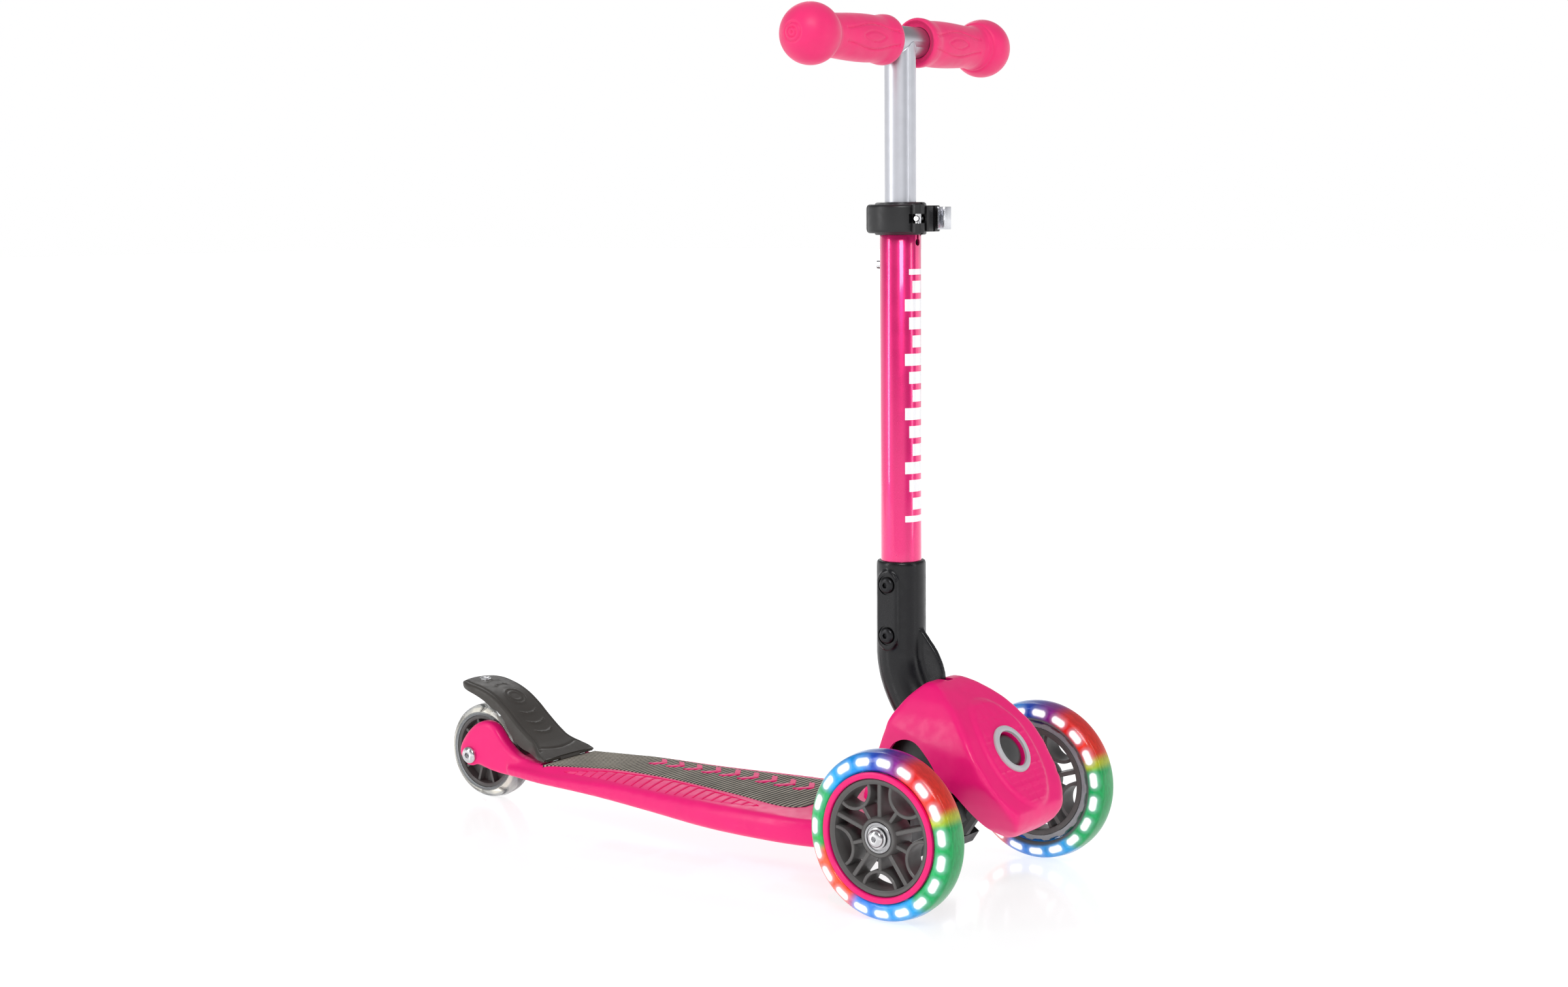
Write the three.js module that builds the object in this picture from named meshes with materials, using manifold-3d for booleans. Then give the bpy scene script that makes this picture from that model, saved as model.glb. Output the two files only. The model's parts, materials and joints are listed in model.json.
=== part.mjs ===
// A child's folding kick scooter with two steered front wheels and one rear wheel.
// Millimetres. +X is forward, +Y is the rider's left, +Z is up. The model is drawn with its
// origin on the ground below the front axle, and the whole group is then moved forward so that
// the exported origin is the centre of the object's footprint.
import * as THREE from 'three';
import { mergeVertices } from 'three/addons/utils/BufferGeometryUtils.js';
import Module from 'manifold-3d';

const wasm = await Module();
wasm.setup();

// ---- driving dimensions ----
const FRONT_R = 60; // front wheel radius
const REAR_R = 40; // rear wheel radius
const TRACK = 203.4; // between the front wheels' middle planes
const WHEELBASE = 474; // from the front axle back to the rear axle
const FOOTPRINT_SHIFT = 227; // from the footprint's centre to the front axle
const GAP = 0.3; // clearance between pieces that touch
const AXLE_R = 4; // M8 axle bolts
const BEARING_R = 10.9; // 22 x 7 mm ball bearings
const BEARING_WIDTH = 6.9;
const HUB_HALF = 11; // half width of every hub
const STEM_X = -57; // stem axis
const TUBE_R = 14.9; // outer stem tube
const TUBE_WALL = 1.6;
const TUBE_BOTTOM = 172;
const TUBE_TOP = 492;
const BAR_R = 11.2; // silver T-bar tube
const BAR_HEIGHT = 607; // handlebar axis above the ground
const GRIP_INNER = 18.5; // inner end of each grip, from the middle
const BALL_Y = 107; // centre of each grip's ball end
const BALL_R = 21.3;
const PIN_Z = 449; // height-locking pin
const HEIGHT_TRAVEL = 70; // how far the T-bar can be lowered
const CLAMP_BOTTOM = 470.3;
const CLAMP_TOP = 493.5;
const HINGE = { x: -22, z: 106 }; // folding hinge axis, along Y
const STEER_ANGLE = THREE.MathUtils.degToRad(55); // slope of the steering axis
const BUTTON = { x: 37, z: 106, tilt: THREE.MathUtils.degToRad(57) };
const COVER_WALL = 3;
const COVER_SLOT = 20; // half width of the slot that the folding bracket moves in
const DECK_FRONT = -63;
const DECK_BOTTOM = 24;
const PAD_TOP = 50; // top of the grip pad where it is flat
const FORK_INNER = 14.5; // inner and outer faces of the rear fork arms
const FORK_OUTER = 27;

// ---- colours ----
const finish = (color, roughness, metalness = 0) => ({ color, roughness, metalness });
const PINK = finish(0xf0247c, 0.42);
const PINK_SOFT = finish(0xf2407f, 0.6);
const BLACK = finish(0x17181b, 0.5);
const DARK_GREY = finish(0x4a4846, 0.6);
const LIGHT_GREY = finish(0xb4b4b6, 0.5);
const SILVER = finish(0xc9ccd0, 0.35, 0.9);
const STEEL = finish(0x9ea2a6, 0.3, 1);
const CLEAR = finish(0x9fd4e8, 0.15);

// ---- solids: three.js geometry in, manifold solid out ----
function solid(geometry) {
  const bare = geometry.clone();
  for (const name of Object.keys(bare.attributes)) {
    if (name !== 'position') bare.deleteAttribute(name);
  }
  const merged = mergeVertices(bare, 1e-4);
  const points = merged.attributes.position.array;
  const corner = (i) => new THREE.Vector3(points[3 * i], points[3 * i + 1], points[3 * i + 2]);
  const triangles = [];
  let volume = 0;
  for (let i = 0; i < merged.index.count; i += 3) {
    const [a, b, c] = merged.index.array.slice(i, i + 3);
    if (a === b || b === c || c === a) continue;
    triangles.push([a, b, c]);
    volume += corner(a).dot(corner(b).cross(corner(c)));
  }
  const facing = volume < 0 ? triangles.map(([a, b, c]) => [a, c, b]) : triangles;
  return new wasm.Manifold(new wasm.Mesh({
    numProp: 3,
    vertProperties: new Float32Array(points),
    triVerts: new Uint32Array(facing.flat()),
  }));
}

function geometryOf(body) {
  const mesh = body.getMesh();
  const geometry = new THREE.BufferGeometry();
  geometry.setAttribute('position', new THREE.BufferAttribute(mesh.vertProperties, 3));
  geometry.setIndex(new THREE.BufferAttribute(mesh.triVerts, 1));
  geometry.computeVertexNormals();
  return geometry;
}

function piece(name, body, look, parent) {
  const mesh = new THREE.Mesh(geometryOf(body), new THREE.MeshStandardMaterial(look));
  mesh.name = name;
  parent.add(mesh);
  return mesh;
}

const joined = (...bodies) => bodies.reduce((all, body) => all.add(body));
const cut = (body, ...tools) => tools.reduce((left, tool) => left.subtract(tool), body);
const vectors = (pairs) => pairs.map(([a, b]) => new THREE.Vector2(a, b));
const curve = (pairs, steps) => {
  const points = new THREE.SplineCurve(vectors(pairs)).getPoints(steps);
  return points.map((p) => [p.x, p.y]);
};

function box(x0, x1, y0, y1, z0, z1) {
  const geometry = new THREE.BoxGeometry(x1 - x0, y1 - y0, z1 - z0);
  geometry.translate((x0 + x1) / 2, (y0 + y1) / 2, (z0 + z1) / 2);
  return solid(geometry);
}

function rod(from, to, radius, sides = 16) {
  const start = new THREE.Vector3(...from);
  const along = new THREE.Vector3(...to).sub(start);
  const geometry = new THREE.CylinderGeometry(radius, radius, along.length(), sides);
  geometry.translate(0, along.length() / 2, 0);
  const turn = new THREE.Quaternion();
  turn.setFromUnitVectors(new THREE.Vector3(0, 1, 0), along.clone().normalize());
  geometry.applyQuaternion(turn);
  geometry.translate(start.x, start.y, start.z);
  return solid(geometry);
}

const rodY = (x, z, radius, y0, y1, sides) => rod([x, y0, z], [x, y1, z], radius, sides);
const rodZ = (x, y, radius, z0, z1, sides) => rod([x, y, z0], [x, y, z1], radius, sides);

// A side-view outline of [x, z] points, from y0 to y1.
function plate(outline, y0, y1) {
  const shape = new THREE.Shape(vectors(outline));
  const geometry = new THREE.ExtrudeGeometry(shape, { depth: y1 - y0, bevelEnabled: false });
  geometry.rotateX(Math.PI / 2);
  geometry.translate(0, y1, 0);
  return solid(geometry);
}

// A plan outline of [x, y] points, from z0 to z1, with an optional bevel inside those limits.
function slab(outline, z0, z1, bevel = 0) {
  const geometry = new THREE.ExtrudeGeometry(new THREE.Shape(vectors(outline)), {
    depth: z1 - z0 - 2 * bevel,
    bevelEnabled: bevel > 0,
    bevelThickness: bevel,
    bevelSize: bevel,
    bevelOffset: -bevel,
    bevelSegments: 1,
  });
  geometry.translate(0, 0, z0 + bevel);
  return solid(geometry);
}

// A front-view outline of [y, z] points, from x0 to x1.
function crosswise(outline, x0, x1) {
  const shape = new THREE.Shape(vectors(outline));
  const geometry = new THREE.ExtrudeGeometry(shape, { depth: x1 - x0, bevelEnabled: false });
  geometry.rotateX(Math.PI / 2);
  geometry.rotateZ(Math.PI / 2);
  geometry.translate(x0, 0, 0);
  return solid(geometry);
}

// A profile of [radius, y] points spun about the Y axis. A ring's profile closes on itself.
const spun = (profile, sides) => solid(new THREE.LatheGeometry(vectors(profile), sides));
const ring = (profile, sides) => spun([...profile, profile[0]], sides);
const tube = (inner, outer, y0, y1, sides) =>
  ring([[inner, y0], [outer, y0], [outer, y1], [inner, y1]], sides);

function spunUpright(profile, x, y, sides) {
  const geometry = new THREE.LatheGeometry(vectors(profile), sides);
  geometry.rotateX(Math.PI / 2);
  geometry.translate(x, y, 0);
  return solid(geometry);
}

const mirrored = (half) => [...half, ...half.map(([x, y]) => [x, -y]).reverse()];

// Moves every edge of an outline inwards by the same distance.
function inset(outline, distance) {
  const points = vectors(outline);
  const turn = THREE.ShapeUtils.isClockWise(points) ? -1 : 1;
  return points.map((point, i) => {
    const before = points[(i + points.length - 1) % points.length];
    const after = points[(i + 1) % points.length];
    const first = point.clone().sub(before).normalize();
    const second = after.clone().sub(point).normalize();
    const normalA = new THREE.Vector2(-first.y, first.x).multiplyScalar(turn);
    const normalB = new THREE.Vector2(-second.y, second.x).multiplyScalar(turn);
    const middle = normalA.clone().add(normalB).normalize();
    const reach = distance / Math.max(middle.dot(normalA), 0.5);
    return [point.x + middle.x * reach, point.y + middle.y * reach];
  });
}

// ---- steering axis: a point on it is the axle's middle plus a distance along and off it ----
const steerAlong = [Math.cos(STEER_ANGLE), Math.sin(STEER_ANGLE)];
const steerOff = [-Math.sin(STEER_ANGLE), Math.cos(STEER_ANGLE)];
const steerPoint = (along, off = 0) => [
  along * steerAlong[0] + off * steerOff[0],
  FRONT_R + along * steerAlong[1] + off * steerOff[1],
];
const steerRod = (from, to, radius, sides) => {
  const [x0, z0] = steerPoint(from);
  const [x1, z1] = steerPoint(to);
  return rod([x0, 0, z0], [x1, 0, z1], radius, sides);
};
const steerBlock = (a0, a1, o0, o1, halfWidth) =>
  plate([steerPoint(a0, o0), steerPoint(a1, o0), steerPoint(a1, o1), steerPoint(a0, o1)],
    -halfWidth, halfWidth);

const model = new THREE.Group();

// ---- wheels, drawn about their own hub with the outer side towards +Y ----
const TYRE_SIDES = 24;
const HUB_SIDES = 12;

function bearing(name, start, parent) {
  piece(name, tube(AXLE_R + GAP, BEARING_R, start, start + BEARING_WIDTH, HUB_SIDES), STEEL, parent);
}

function hub() {
  const seat = BEARING_R + GAP;
  const shoulder = HUB_HALF - BEARING_WIDTH - 0.1;
  const inner = 7;
  const outer = 14;
  return ring([[inner, -shoulder], [inner, shoulder], [seat, shoulder], [seat, HUB_HALF],
    [outer, HUB_HALF], [outer, -HUB_HALF], [seat, -HUB_HALF], [seat, -shoulder]], HUB_SIDES);
}

function frontRim() {
  const spokes = [0, 1, 2, 3, 4].map((i) => {
    const spoke = new THREE.BoxGeometry(5, 14, 27);
    spoke.translate(0, 0, 26);
    spoke.rotateY(i * 2 * Math.PI / 5);
    return solid(spoke);
  });
  return joined(tube(37.2, 41.2, -10, 11, TYRE_SIDES), hub(), ...spokes);
}

function tyre(outer, inner, half, sides) {
  const tread = outer - inner;
  const side = [[outer - tread * 0.8, half], [outer - tread * 0.4, half],
    [outer - 2.2, half * 0.79], [outer - 0.4, half * 0.42]];
  const down = side.map(([r, y]) => [r, -y]).reverse();
  return ring([[inner, half - 2.5], ...side, [outer, 0], ...down, [inner, 2.5 - half]], sides);
}

function frontWheel(side, label) {
  const wheel = new THREE.Group();
  wheel.position.set(0, side * TRACK / 2, FRONT_R);
  if (side < 0) wheel.rotation.z = Math.PI;
  model.add(wheel);
  piece(`tyre_${label}`, tyre(FRONT_R, 46.3, 12, TYRE_SIDES), CLEAR, wheel);
  piece(`light_ring_${label}`, tube(41.5, 46, -9.5, 9.5, TYRE_SIDES), CLEAR, wheel);
  piece(`trim_ring_${label}`, tube(41.5, 45.8, 9.8, 12.6, TYRE_SIDES), PINK, wheel);
  piece(`rim_${label}`, frontRim(), DARK_GREY, wheel);
  const bearingStart = HUB_HALF + 0.2 - BEARING_WIDTH;
  bearing(`bearing_outer_${label}`, bearingStart, wheel);
  bearing(`bearing_inner_${label}`, -bearingStart - BEARING_WIDTH, wheel);
  const spacerHalf = bearingStart - GAP;
  piece(`magnet_spacer_${label}`, tube(AXLE_R + GAP, 6.6, -spacerHalf, spacerHalf, HUB_SIDES),
    BLACK, wheel);
  const headSeat = HUB_HALF + 0.5;
  const bolt = spun([[0, -50], [AXLE_R, -50], [AXLE_R, headSeat], [7.5, headSeat],
    [7.3, headSeat + 1.6], [5.2, headSeat + 3.6], [0, headSeat + 4.4]], HUB_SIDES);
  piece(`axle_bolt_${label}`, bolt, STEEL, wheel);
}

function rearWheel() {
  const wheel = new THREE.Group();
  wheel.position.set(-WHEELBASE, 0, REAR_R);
  model.add(wheel);
  const rim = joined(hub(), ring([[13.5, -3], [13.5, 3], [27, 3], [28, 10.5], [30.9, 10.5],
    [30.9, -10.5], [28, -10.5], [27, -3]], 20));
  piece('tyre_rear', tyre(REAR_R, 31.3, 11.5, 20), CLEAR, wheel);
  piece('rim_rear', rim, DARK_GREY, wheel);
  const bearingStart = HUB_HALF + 0.2 - BEARING_WIDTH;
  bearing('bearing_rear_left', bearingStart, wheel);
  bearing('bearing_rear_right', -bearingStart - BEARING_WIDTH, wheel);
  const spacerHalf = bearingStart - GAP;
  piece('spacer_rear', tube(AXLE_R + GAP, 6.6, -spacerHalf, spacerHalf, HUB_SIDES), STEEL, wheel);
  const face = FORK_OUTER + GAP;
  const bolt = spun([[0, face + 6], [AXLE_R, face + 6], [AXLE_R, -face], [7, -face],
    [6.8, -face - 1.5], [4.8, -face - 3.4], [0, -face - 4]], HUB_SIDES);
  piece('rear_axle_bolt', bolt, STEEL, wheel);
  const nut = cut(rodY(0, 0, 7.2, face, face + 5, 6), rodY(0, 0, AXLE_R + GAP, 0, 60, HUB_SIDES));
  piece('rear_axle_nut', nut, STEEL, wheel);
}

// ---- steered front axle ----
function axleCarrier() {
  const half = [[6, 0], [6, 60], [9, 86], [-9, 86], [-14, 60], [-14, 25], [-8, 21], [-8, 0]];
  const left = half.slice(1, -1);
  const outline = [...left, ...left.map(([x, y]) => [x, -y]).reverse()];
  const hubHalf = 17.5;
  let body = joined(slab(outline, 50, 70, 2), steerRod(-hubHalf, hubHalf, 13));
  for (const side of [-1, 1]) {
    const end = side * (TRACK / 2 - HUB_HALF - 0.2 - GAP);
    body = body.add(rodY(0, FRONT_R, 7, side * 84, end, HUB_SIDES));
    body = body.subtract(rodY(0, FRONT_R, AXLE_R + GAP, side * 51, side * 95, HUB_SIDES));
  }
  return body.subtract(steerRod(-30, 30, 6.3, HUB_SIDES));
}

// The fixed front frame: two lugs that hold the kingpin, a base on the deck, two hinge ears.
function frontFrame() {
  const yoke = cut(steerBlock(-28, 28, -13, 24, 16), steerBlock(-18, 18, -60, 17.5, 40));
  const base = box(-62.6, -30, -31.5, 31.5, 22, 58);
  const tongue = box(-104, -60, -30, 30, 15.7, DECK_BOTTOM - 2 - GAP);
  const step = box(-62.6, -40, -30, 30, 15.7, 24);
  const earOutline = [[-10, 108], [-12, 96], [-31, 76], [-31, 44], [-62, 44], [-60, 60],
    [-34, 108]];
  let body = joined(yoke, base, tongue, step);
  for (const side of [-1, 1]) {
    const [y0, y1] = side > 0 ? [18.6, 24] : [-24, -18.6];
    body = body.add(plate(earOutline, y0, y1)).add(rodY(HINGE.x, HINGE.z, 12, y0, y1));
    body = body.subtract(rodZ(-84, side * 18, 2.8, 10, 40, 12));
  }
  const pinHole = rodY(HINGE.x, HINGE.z, 4.3, -40, 40, HUB_SIDES);
  return cut(body, pinHole, steerRod(-50, 50, 6.3, HUB_SIDES));
}

function steering() {
  piece('axle_carrier', axleCarrier(), BLACK, model);
  piece('front_frame', frontFrame(), BLACK, model);
  piece('kingpin', joined(steerRod(-35, 29, 6, HUB_SIDES), steerRod(28.3, 32, 9)), STEEL, model);
  const nut = cut(steerRod(-34, -28.3, 9.2, 6), steerRod(-60, 0, 6.3, HUB_SIDES));
  piece('kingpin_nut', nut, STEEL, model);
  for (const [side, label] of [[1, 'left'], [-1, 'right']]) {
    const bumper = rod([-29.7, side * 26, 57], [-14.3, side * 26, 57], 5, HUB_SIDES);
    piece(`steer_bumper_${label}`, bumper, DARK_GREY, model);
    const head = rodZ(-84, side * 18, 5, 12.6, 15.4, HUB_SIDES);
    const screw = joined(head, rodZ(-84, side * 18, 2.5, 15, 36, 12));
    piece(`frame_screw_${label}`, screw, STEEL, model);
  }
  const pin = rodY(HINGE.x, HINGE.z, 4, -25, 25, HUB_SIDES);
  piece('hinge_pin', pin, STEEL, model);
}

// ---- pink cover over the front frame ----
const coverSide = [[-92, 50.5], [-86, 72], [-76, 95], [-68, 112], [-59, 124], [-44, 137],
  [-24, 150.5], [-8, 148], [10, 138], [27, 121.5], [48, 89.5], [55, 76], [58, 63], [55, 53],
  [48, 47], [38, 44]];
const coverPlan = mirrored([[-94, 33], [-76, 34], [-55, 37], [-35, 41], [-10, 45], [20, 46],
  [40, 43], [52, 35], [57, 24], [60, 10]]);
const coverFront = [[14, 43], [30, 47], [39, 56], [44, 68], [46, 85], [45, 100], [42, 115],
  [36, 128], [28, 140], [20, 148], [14, 152]];

function coverBlock(wall) {
  const front = [...coverFront, ...coverFront.map(([y, z]) => [-y, z]).reverse()];
  const side = plate(inset(coverSide, wall), -60, 60);
  return side.intersect(slab(inset(coverPlan, wall), 0, 200))
    .intersect(crosswise(inset(front, wall), -120, 120));
}

function buttonRod(from, to, radius, sides) {
  const at = (t) => [BUTTON.x + t * Math.sin(BUTTON.tilt), 0, BUTTON.z + t * Math.cos(BUTTON.tilt)];
  return rod(at(from), at(to), radius, sides);
}

function cover() {
  const arch = plate([[-50, 20], [-50, 85], [-44, 104], [-30, 112], [-18, 111], [-9, 98], [0, 84],
    [12, 75], [34, 60], [43, 50], [43, 20]], -60, 60);
  const slot = plate([[-120, 40], [-60, 40], [-20, 124], [-22, 142], [-30, 150], [-30, 175],
    [-120, 175]],
    -COVER_SLOT, COVER_SLOT);
  const finSlot = plate([[-45, 120], [-14, 120], [-14, 170], [-45, 170]], -4, 4);
  const floor = box(-88.5, -40, -31.9, 31.9, 30, 62);
  const shell = cut(coverBlock(0), coverBlock(COVER_WALL), arch, slot, finSlot, floor);
  const collar = buttonRod(-7, -1.5, 15.3, 20);
  return cut(shell.add(collar), buttonRod(-30, 20, 13.4, 20));
}

function frontCover() {
  piece('cover', cover(), PINK, model);
  const face = new THREE.Group();
  face.position.set(BUTTON.x, 0, BUTTON.z);
  face.rotation.y = BUTTON.tilt;
  model.add(face);
  const upright = (profile, sides = 20) => spunUpright(profile, 0, 0, sides);
  const bezel = [[13.8, 0.8], [18, 0.8], [17.6, 2.6], [14.2, 2.6], [13.8, 0.8]];
  piece('bezel', upright(bezel), LIGHT_GREY, face);
  const button = [[0, 0.6], [7, 0], [11, -1.4], [12.8, -3.2], [12.8, -7.4], [15, -7.4], [15, -9],
    [4, -9], [4, -20.4], [0, -20.4]];
  piece('fold_button', upright(button), BLACK, face);
  const guide = [[15.8, -4], [17.4, -4], [17.4, -20], [4.6, -20], [4.6, -18.5], [15.8, -18.5],
    [15.8, -4]];
  piece('button_guide', upright(guide), BLACK, face);
  const spring = [[5.4, -18.2], [7.4, -18.2], [7.4, -9.3], [5.4, -9.3], [5.4, -18.2]];
  piece('button_spring', upright(spring, HUB_SIDES), STEEL, face);
}

// ---- deck with rear fork ----
const deckHalf = curve([[DECK_FRONT, 40], [-80, 51], [-110, 60], [-150, 62.5], [-200, 60],
  [-260, 53], [-320, 47], [-380, 40], [-430, 31]], 15);
const deckSide = [[DECK_FRONT, DECK_BOTTOM], [DECK_FRONT, 48], [-110, 48.2], [-190, PAD_TOP - 0.8],
  [-300, PAD_TOP - 0.8], [-340, 47], [-382, 43.8], [-430, 43], [-430, 27], [-380, 26],
  [-320, DECK_BOTTOM]];
const padHalf = curve([[-121, 33], [-128, 40.5], [-145, 42.5], [-180, 36.5], [-205, 33],
  [-232, 29], [-262, 26], [-310, 26], [-350, 28], [-380, 29]], 15);
const padSide = [[-115, 49], [-190, PAD_TOP], [-300, PAD_TOP], [-340, 47.8], [-385, 44.4]];
const PAD_THICKNESS = 2.2;
const lowered = (line, drop) => line.map(([x, z]) => [x, z - drop]);
const band = (line, above, below) => [...lowered(line, -above), ...lowered(line, below).reverse()];

function forkArm(side) {
  const outline = [[-395, 27], [-449, 28.7], [-467, 33], [-483, 34], [-487.5, 38], [-486, 46],
    [-473.4, 62], [-466, 67.5], [-459.6, 70], [-452, 69.6], [-445.4, 66], [-430.7, 51],
    [-413, 43.4], [-395, 42.6]];
  const [y0, y1] = side > 0 ? [FORK_INNER, FORK_OUTER] : [-FORK_OUTER, -FORK_INNER];
  const bossEnd = side * (HUB_HALF + 0.2 + GAP);
  return joined(plate(outline, y0, y1), rodY(-WHEELBASE, REAR_R, 7, bossEnd, side * 16, HUB_SIDES));
}

const BRAKE_PIN = { x: -390, z: 44.5 };

function deck() {
  const platform = slab(mirrored(deckHalf), 18, 54, 6).intersect(plate(deckSide, -80, 80));
  const recess = plate(band(padSide, 20, PAD_THICKNESS + GAP), -80, 80)
    .intersect(slab(inset(mirrored(padHalf), -GAP), 0, 100));
  let body = joined(platform, forkArm(-1), forkArm(1)).subtract(recess);
  for (const side of [-1, 1]) {
    const [y0, y1] = side > 0 ? [12, 18.5] : [-18.5, -12];
    const lug = joined(rodY(BRAKE_PIN.x, BRAKE_PIN.z, 4.5, y0, y1, HUB_SIDES),
      box(BRAKE_PIN.x - 4.5, BRAKE_PIN.x + 4.5, y0, y1, 36, BRAKE_PIN.z));
    body = body.add(lug);
    for (let i = 0; i < 4; i += 1) {
      const x1 = -112 - i * 66;
      const [p0, p1] = side > 0 ? [3, 30] : [-30, -3];
      if (i !== 1) body = body.subtract(box(x1 - 60, x1, p0, p1, 10, 41));
    }
    body = body.subtract(rodZ(-84, side * 18, 2.8, 10, 38, 12));
  }
  const wheelGap = box(-520, -428, -FORK_INNER, FORK_INNER, 0, 100);
  const bosses = [-1, 1].map((side) =>
    rodY(-WHEELBASE, REAR_R, 7, side * (HUB_HALF + 0.5), side * 16, HUB_SIDES));
  body = joined(body.subtract(wheelGap), ...bosses);
  const knuckleGap = box(-396, -383, -12, 12, 39, 60);
  const springSeat = rodZ(-410, 0, 5, 40, 50, HUB_SIDES);
  const padGap = box(-384.7, -382, -32, 32, 43.2, 60);
  return cut(body, knuckleGap, springSeat, padGap,
    rodY(BRAKE_PIN.x, BRAKE_PIN.z, 2.8, -30, 30, 12),
    rodY(-WHEELBASE, REAR_R, AXLE_R + GAP, -40, 40, HUB_SIDES));
}

function deckPieces() {
  piece('deck', deck(), PINK, model);
  const pad = plate(band(padSide, 0, PAD_THICKNESS), -80, 80)
    .intersect(slab(mirrored(padHalf), 0, 100));
  piece('grip_pad', pad, DARK_GREY, model);
}

// ---- rear brake ----
function brake() {
  const top = curve([[-500, 95], [-488, 98.5], [-474, 97.5], [-460, 94], [-448, 88.5],
    [-437, 81], [-427, 73], [-416, 64.5], [-405, 58], [-394, 54.2], [-384, 54]], 14);
  const thickness = 4.5;
  const under = lowered(top, thickness);
  const skirt = plate([...top.slice(2, 12), ...lowered(top.slice(2, 12), 9).reverse()], -22, 22);
  const hollow = plate([...lowered(top, -20), ...lowered(top, 30).reverse()], -19, 19);
  const fender = plate([...top, ...under.reverse()], -22, 22);
  const knuckle = joined(rodY(BRAKE_PIN.x, BRAKE_PIN.z, 4.5, -11.6, 11.6, HUB_SIDES),
    box(-393, -387, -11.6, 11.6, 46, 51.5));
  return cut(joined(fender, cut(skirt, hollow), knuckle),
    rodY(BRAKE_PIN.x, BRAKE_PIN.z, 2.8, -30, 30, 12), rodZ(-481, 0, 2.8, 80, 110, 12));
}

function brakePieces() {
  piece('brake', brake(), DARK_GREY, model);
  const rivet = joined(rodZ(-481, 0, 2.5, 92.8, 99, 12), rodZ(-481, 0, 4.5, 98.9, 100.2, HUB_SIDES),
    rodZ(-481, 0, 4.2, 92.2, 93, HUB_SIDES));
  piece('brake_rivet', rivet, STEEL, model);
  const pin = rodY(BRAKE_PIN.x, BRAKE_PIN.z, 2.5, -19.2, 19.2, 12);
  piece('brake_pin', pin, STEEL, model);
  const spring = spunUpright([[2.2, 40.3], [3.8, 40.3], [3.8, 53.2], [2.2, 53.2], [2.2, 40.3]],
    -410, 0, HUB_SIDES);
  piece('brake_spring', spring, STEEL, model);
}

// ---- folding bracket and stem tube ----
const BRACKET_BOLTS = [['lower', 181.4], ['upper', 218.3]];
const BRACKET_R = 18;
const BRACKET_PAD = 19;

function foldBracket() {
  const bend = new THREE.QuadraticBezierCurve3(new THREE.Vector3(STEM_X, 0, 170),
    new THREE.Vector3(STEM_X, 0, 140), new THREE.Vector3(HINGE.x, 0, HINGE.z + 2));
  const round = new THREE.Shape();
  round.absarc(0, 0, BRACKET_R, 0, 2 * Math.PI);
  const elbow = solid(new THREE.ExtrudeGeometry(round, {
    steps: 6, curveSegments: 8, extrudePath: bend, bevelEnabled: false,
  }));
  const fin = plate([[-50, 190], [-40, 188], [-31.5, 177.2], [-26.4, 170.4], [-22.4, 163],
    [-19.9, 156], [-19.2, 150], [-21, 138], [-28, 126], [-50, 126]], -2.5, 2.5);
  const socket = rodZ(STEM_X, 0, BRACKET_R, 168, 235.5);
  const knuckle = rodY(HINGE.x, HINGE.z, 17, -17, 17);
  let body = joined(socket, elbow, fin, knuckle);
  body = body.add(box(STEM_X - 8, STEM_X + 8, -BRACKET_PAD, BRACKET_PAD, 172, 228));
  body = body.subtract(rodZ(STEM_X, 0, TUBE_R + GAP, TUBE_BOTTOM - GAP, 240));
  for (const [, z] of BRACKET_BOLTS) {
    body = body.subtract(rodY(STEM_X, z, 3.3, -30, 30, 12));
  }
  return body.subtract(rodY(HINGE.x, HINGE.z, 4.3, -30, 30, HUB_SIDES));
}

function stemTube() {
  const inner = TUBE_R - TUBE_WALL;
  const wall = spunUpright([[inner, TUBE_BOTTOM], [TUBE_R, TUBE_BOTTOM], [TUBE_R, TUBE_TOP],
    [inner, TUBE_TOP], [inner, TUBE_BOTTOM]], STEM_X, 0, 20);
  const frontSlit = joined(box(STEM_X, STEM_X + 20, -1.2, 1.2, 463, 500),
    rod([STEM_X, 0, 465], [STEM_X + 20, 0, 465], 2.5, 12));
  const heightSlot = box(STEM_X - 20, STEM_X, -4, 4, PIN_Z - HEIGHT_TRAVEL - 4, PIN_Z + 4);
  const bolts = BRACKET_BOLTS.map(([, z]) => rodY(STEM_X, z, 3.3, -30, 30, 12));
  return cut(wall, frontSlit, heightSlot, ...bolts);
}

function stemPieces() {
  piece('fold_bracket', foldBracket(), BLACK, model);
  piece('stem_tube', stemTube(), PINK, model);
  for (const [label, z] of BRACKET_BOLTS) {
    const head = rodY(STEM_X, z, 6, -BRACKET_PAD - GAP - 2.6, -BRACKET_PAD - GAP);
    const bolt = joined(head, rodY(STEM_X, z, 3, -BRACKET_PAD - 1, BRACKET_PAD - 0.5, 12));
    piece(`bracket_bolt_${label}`, bolt, BLACK, model);
  }
  const bush = spunUpright([[BAR_R + GAP, 456], [13, 456], [13, 490], [BAR_R + GAP, 490],
    [BAR_R + GAP, 456]], STEM_X, 0, 20);
  piece('stem_bush', bush, BLACK, model);
}

// ---- height clamp at the top of the stem tube, drawn about the stem axis ----
const CLAMP_MID = 481.8;
const CLAMP_PIVOT = { x: 24, y: -13 };

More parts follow.
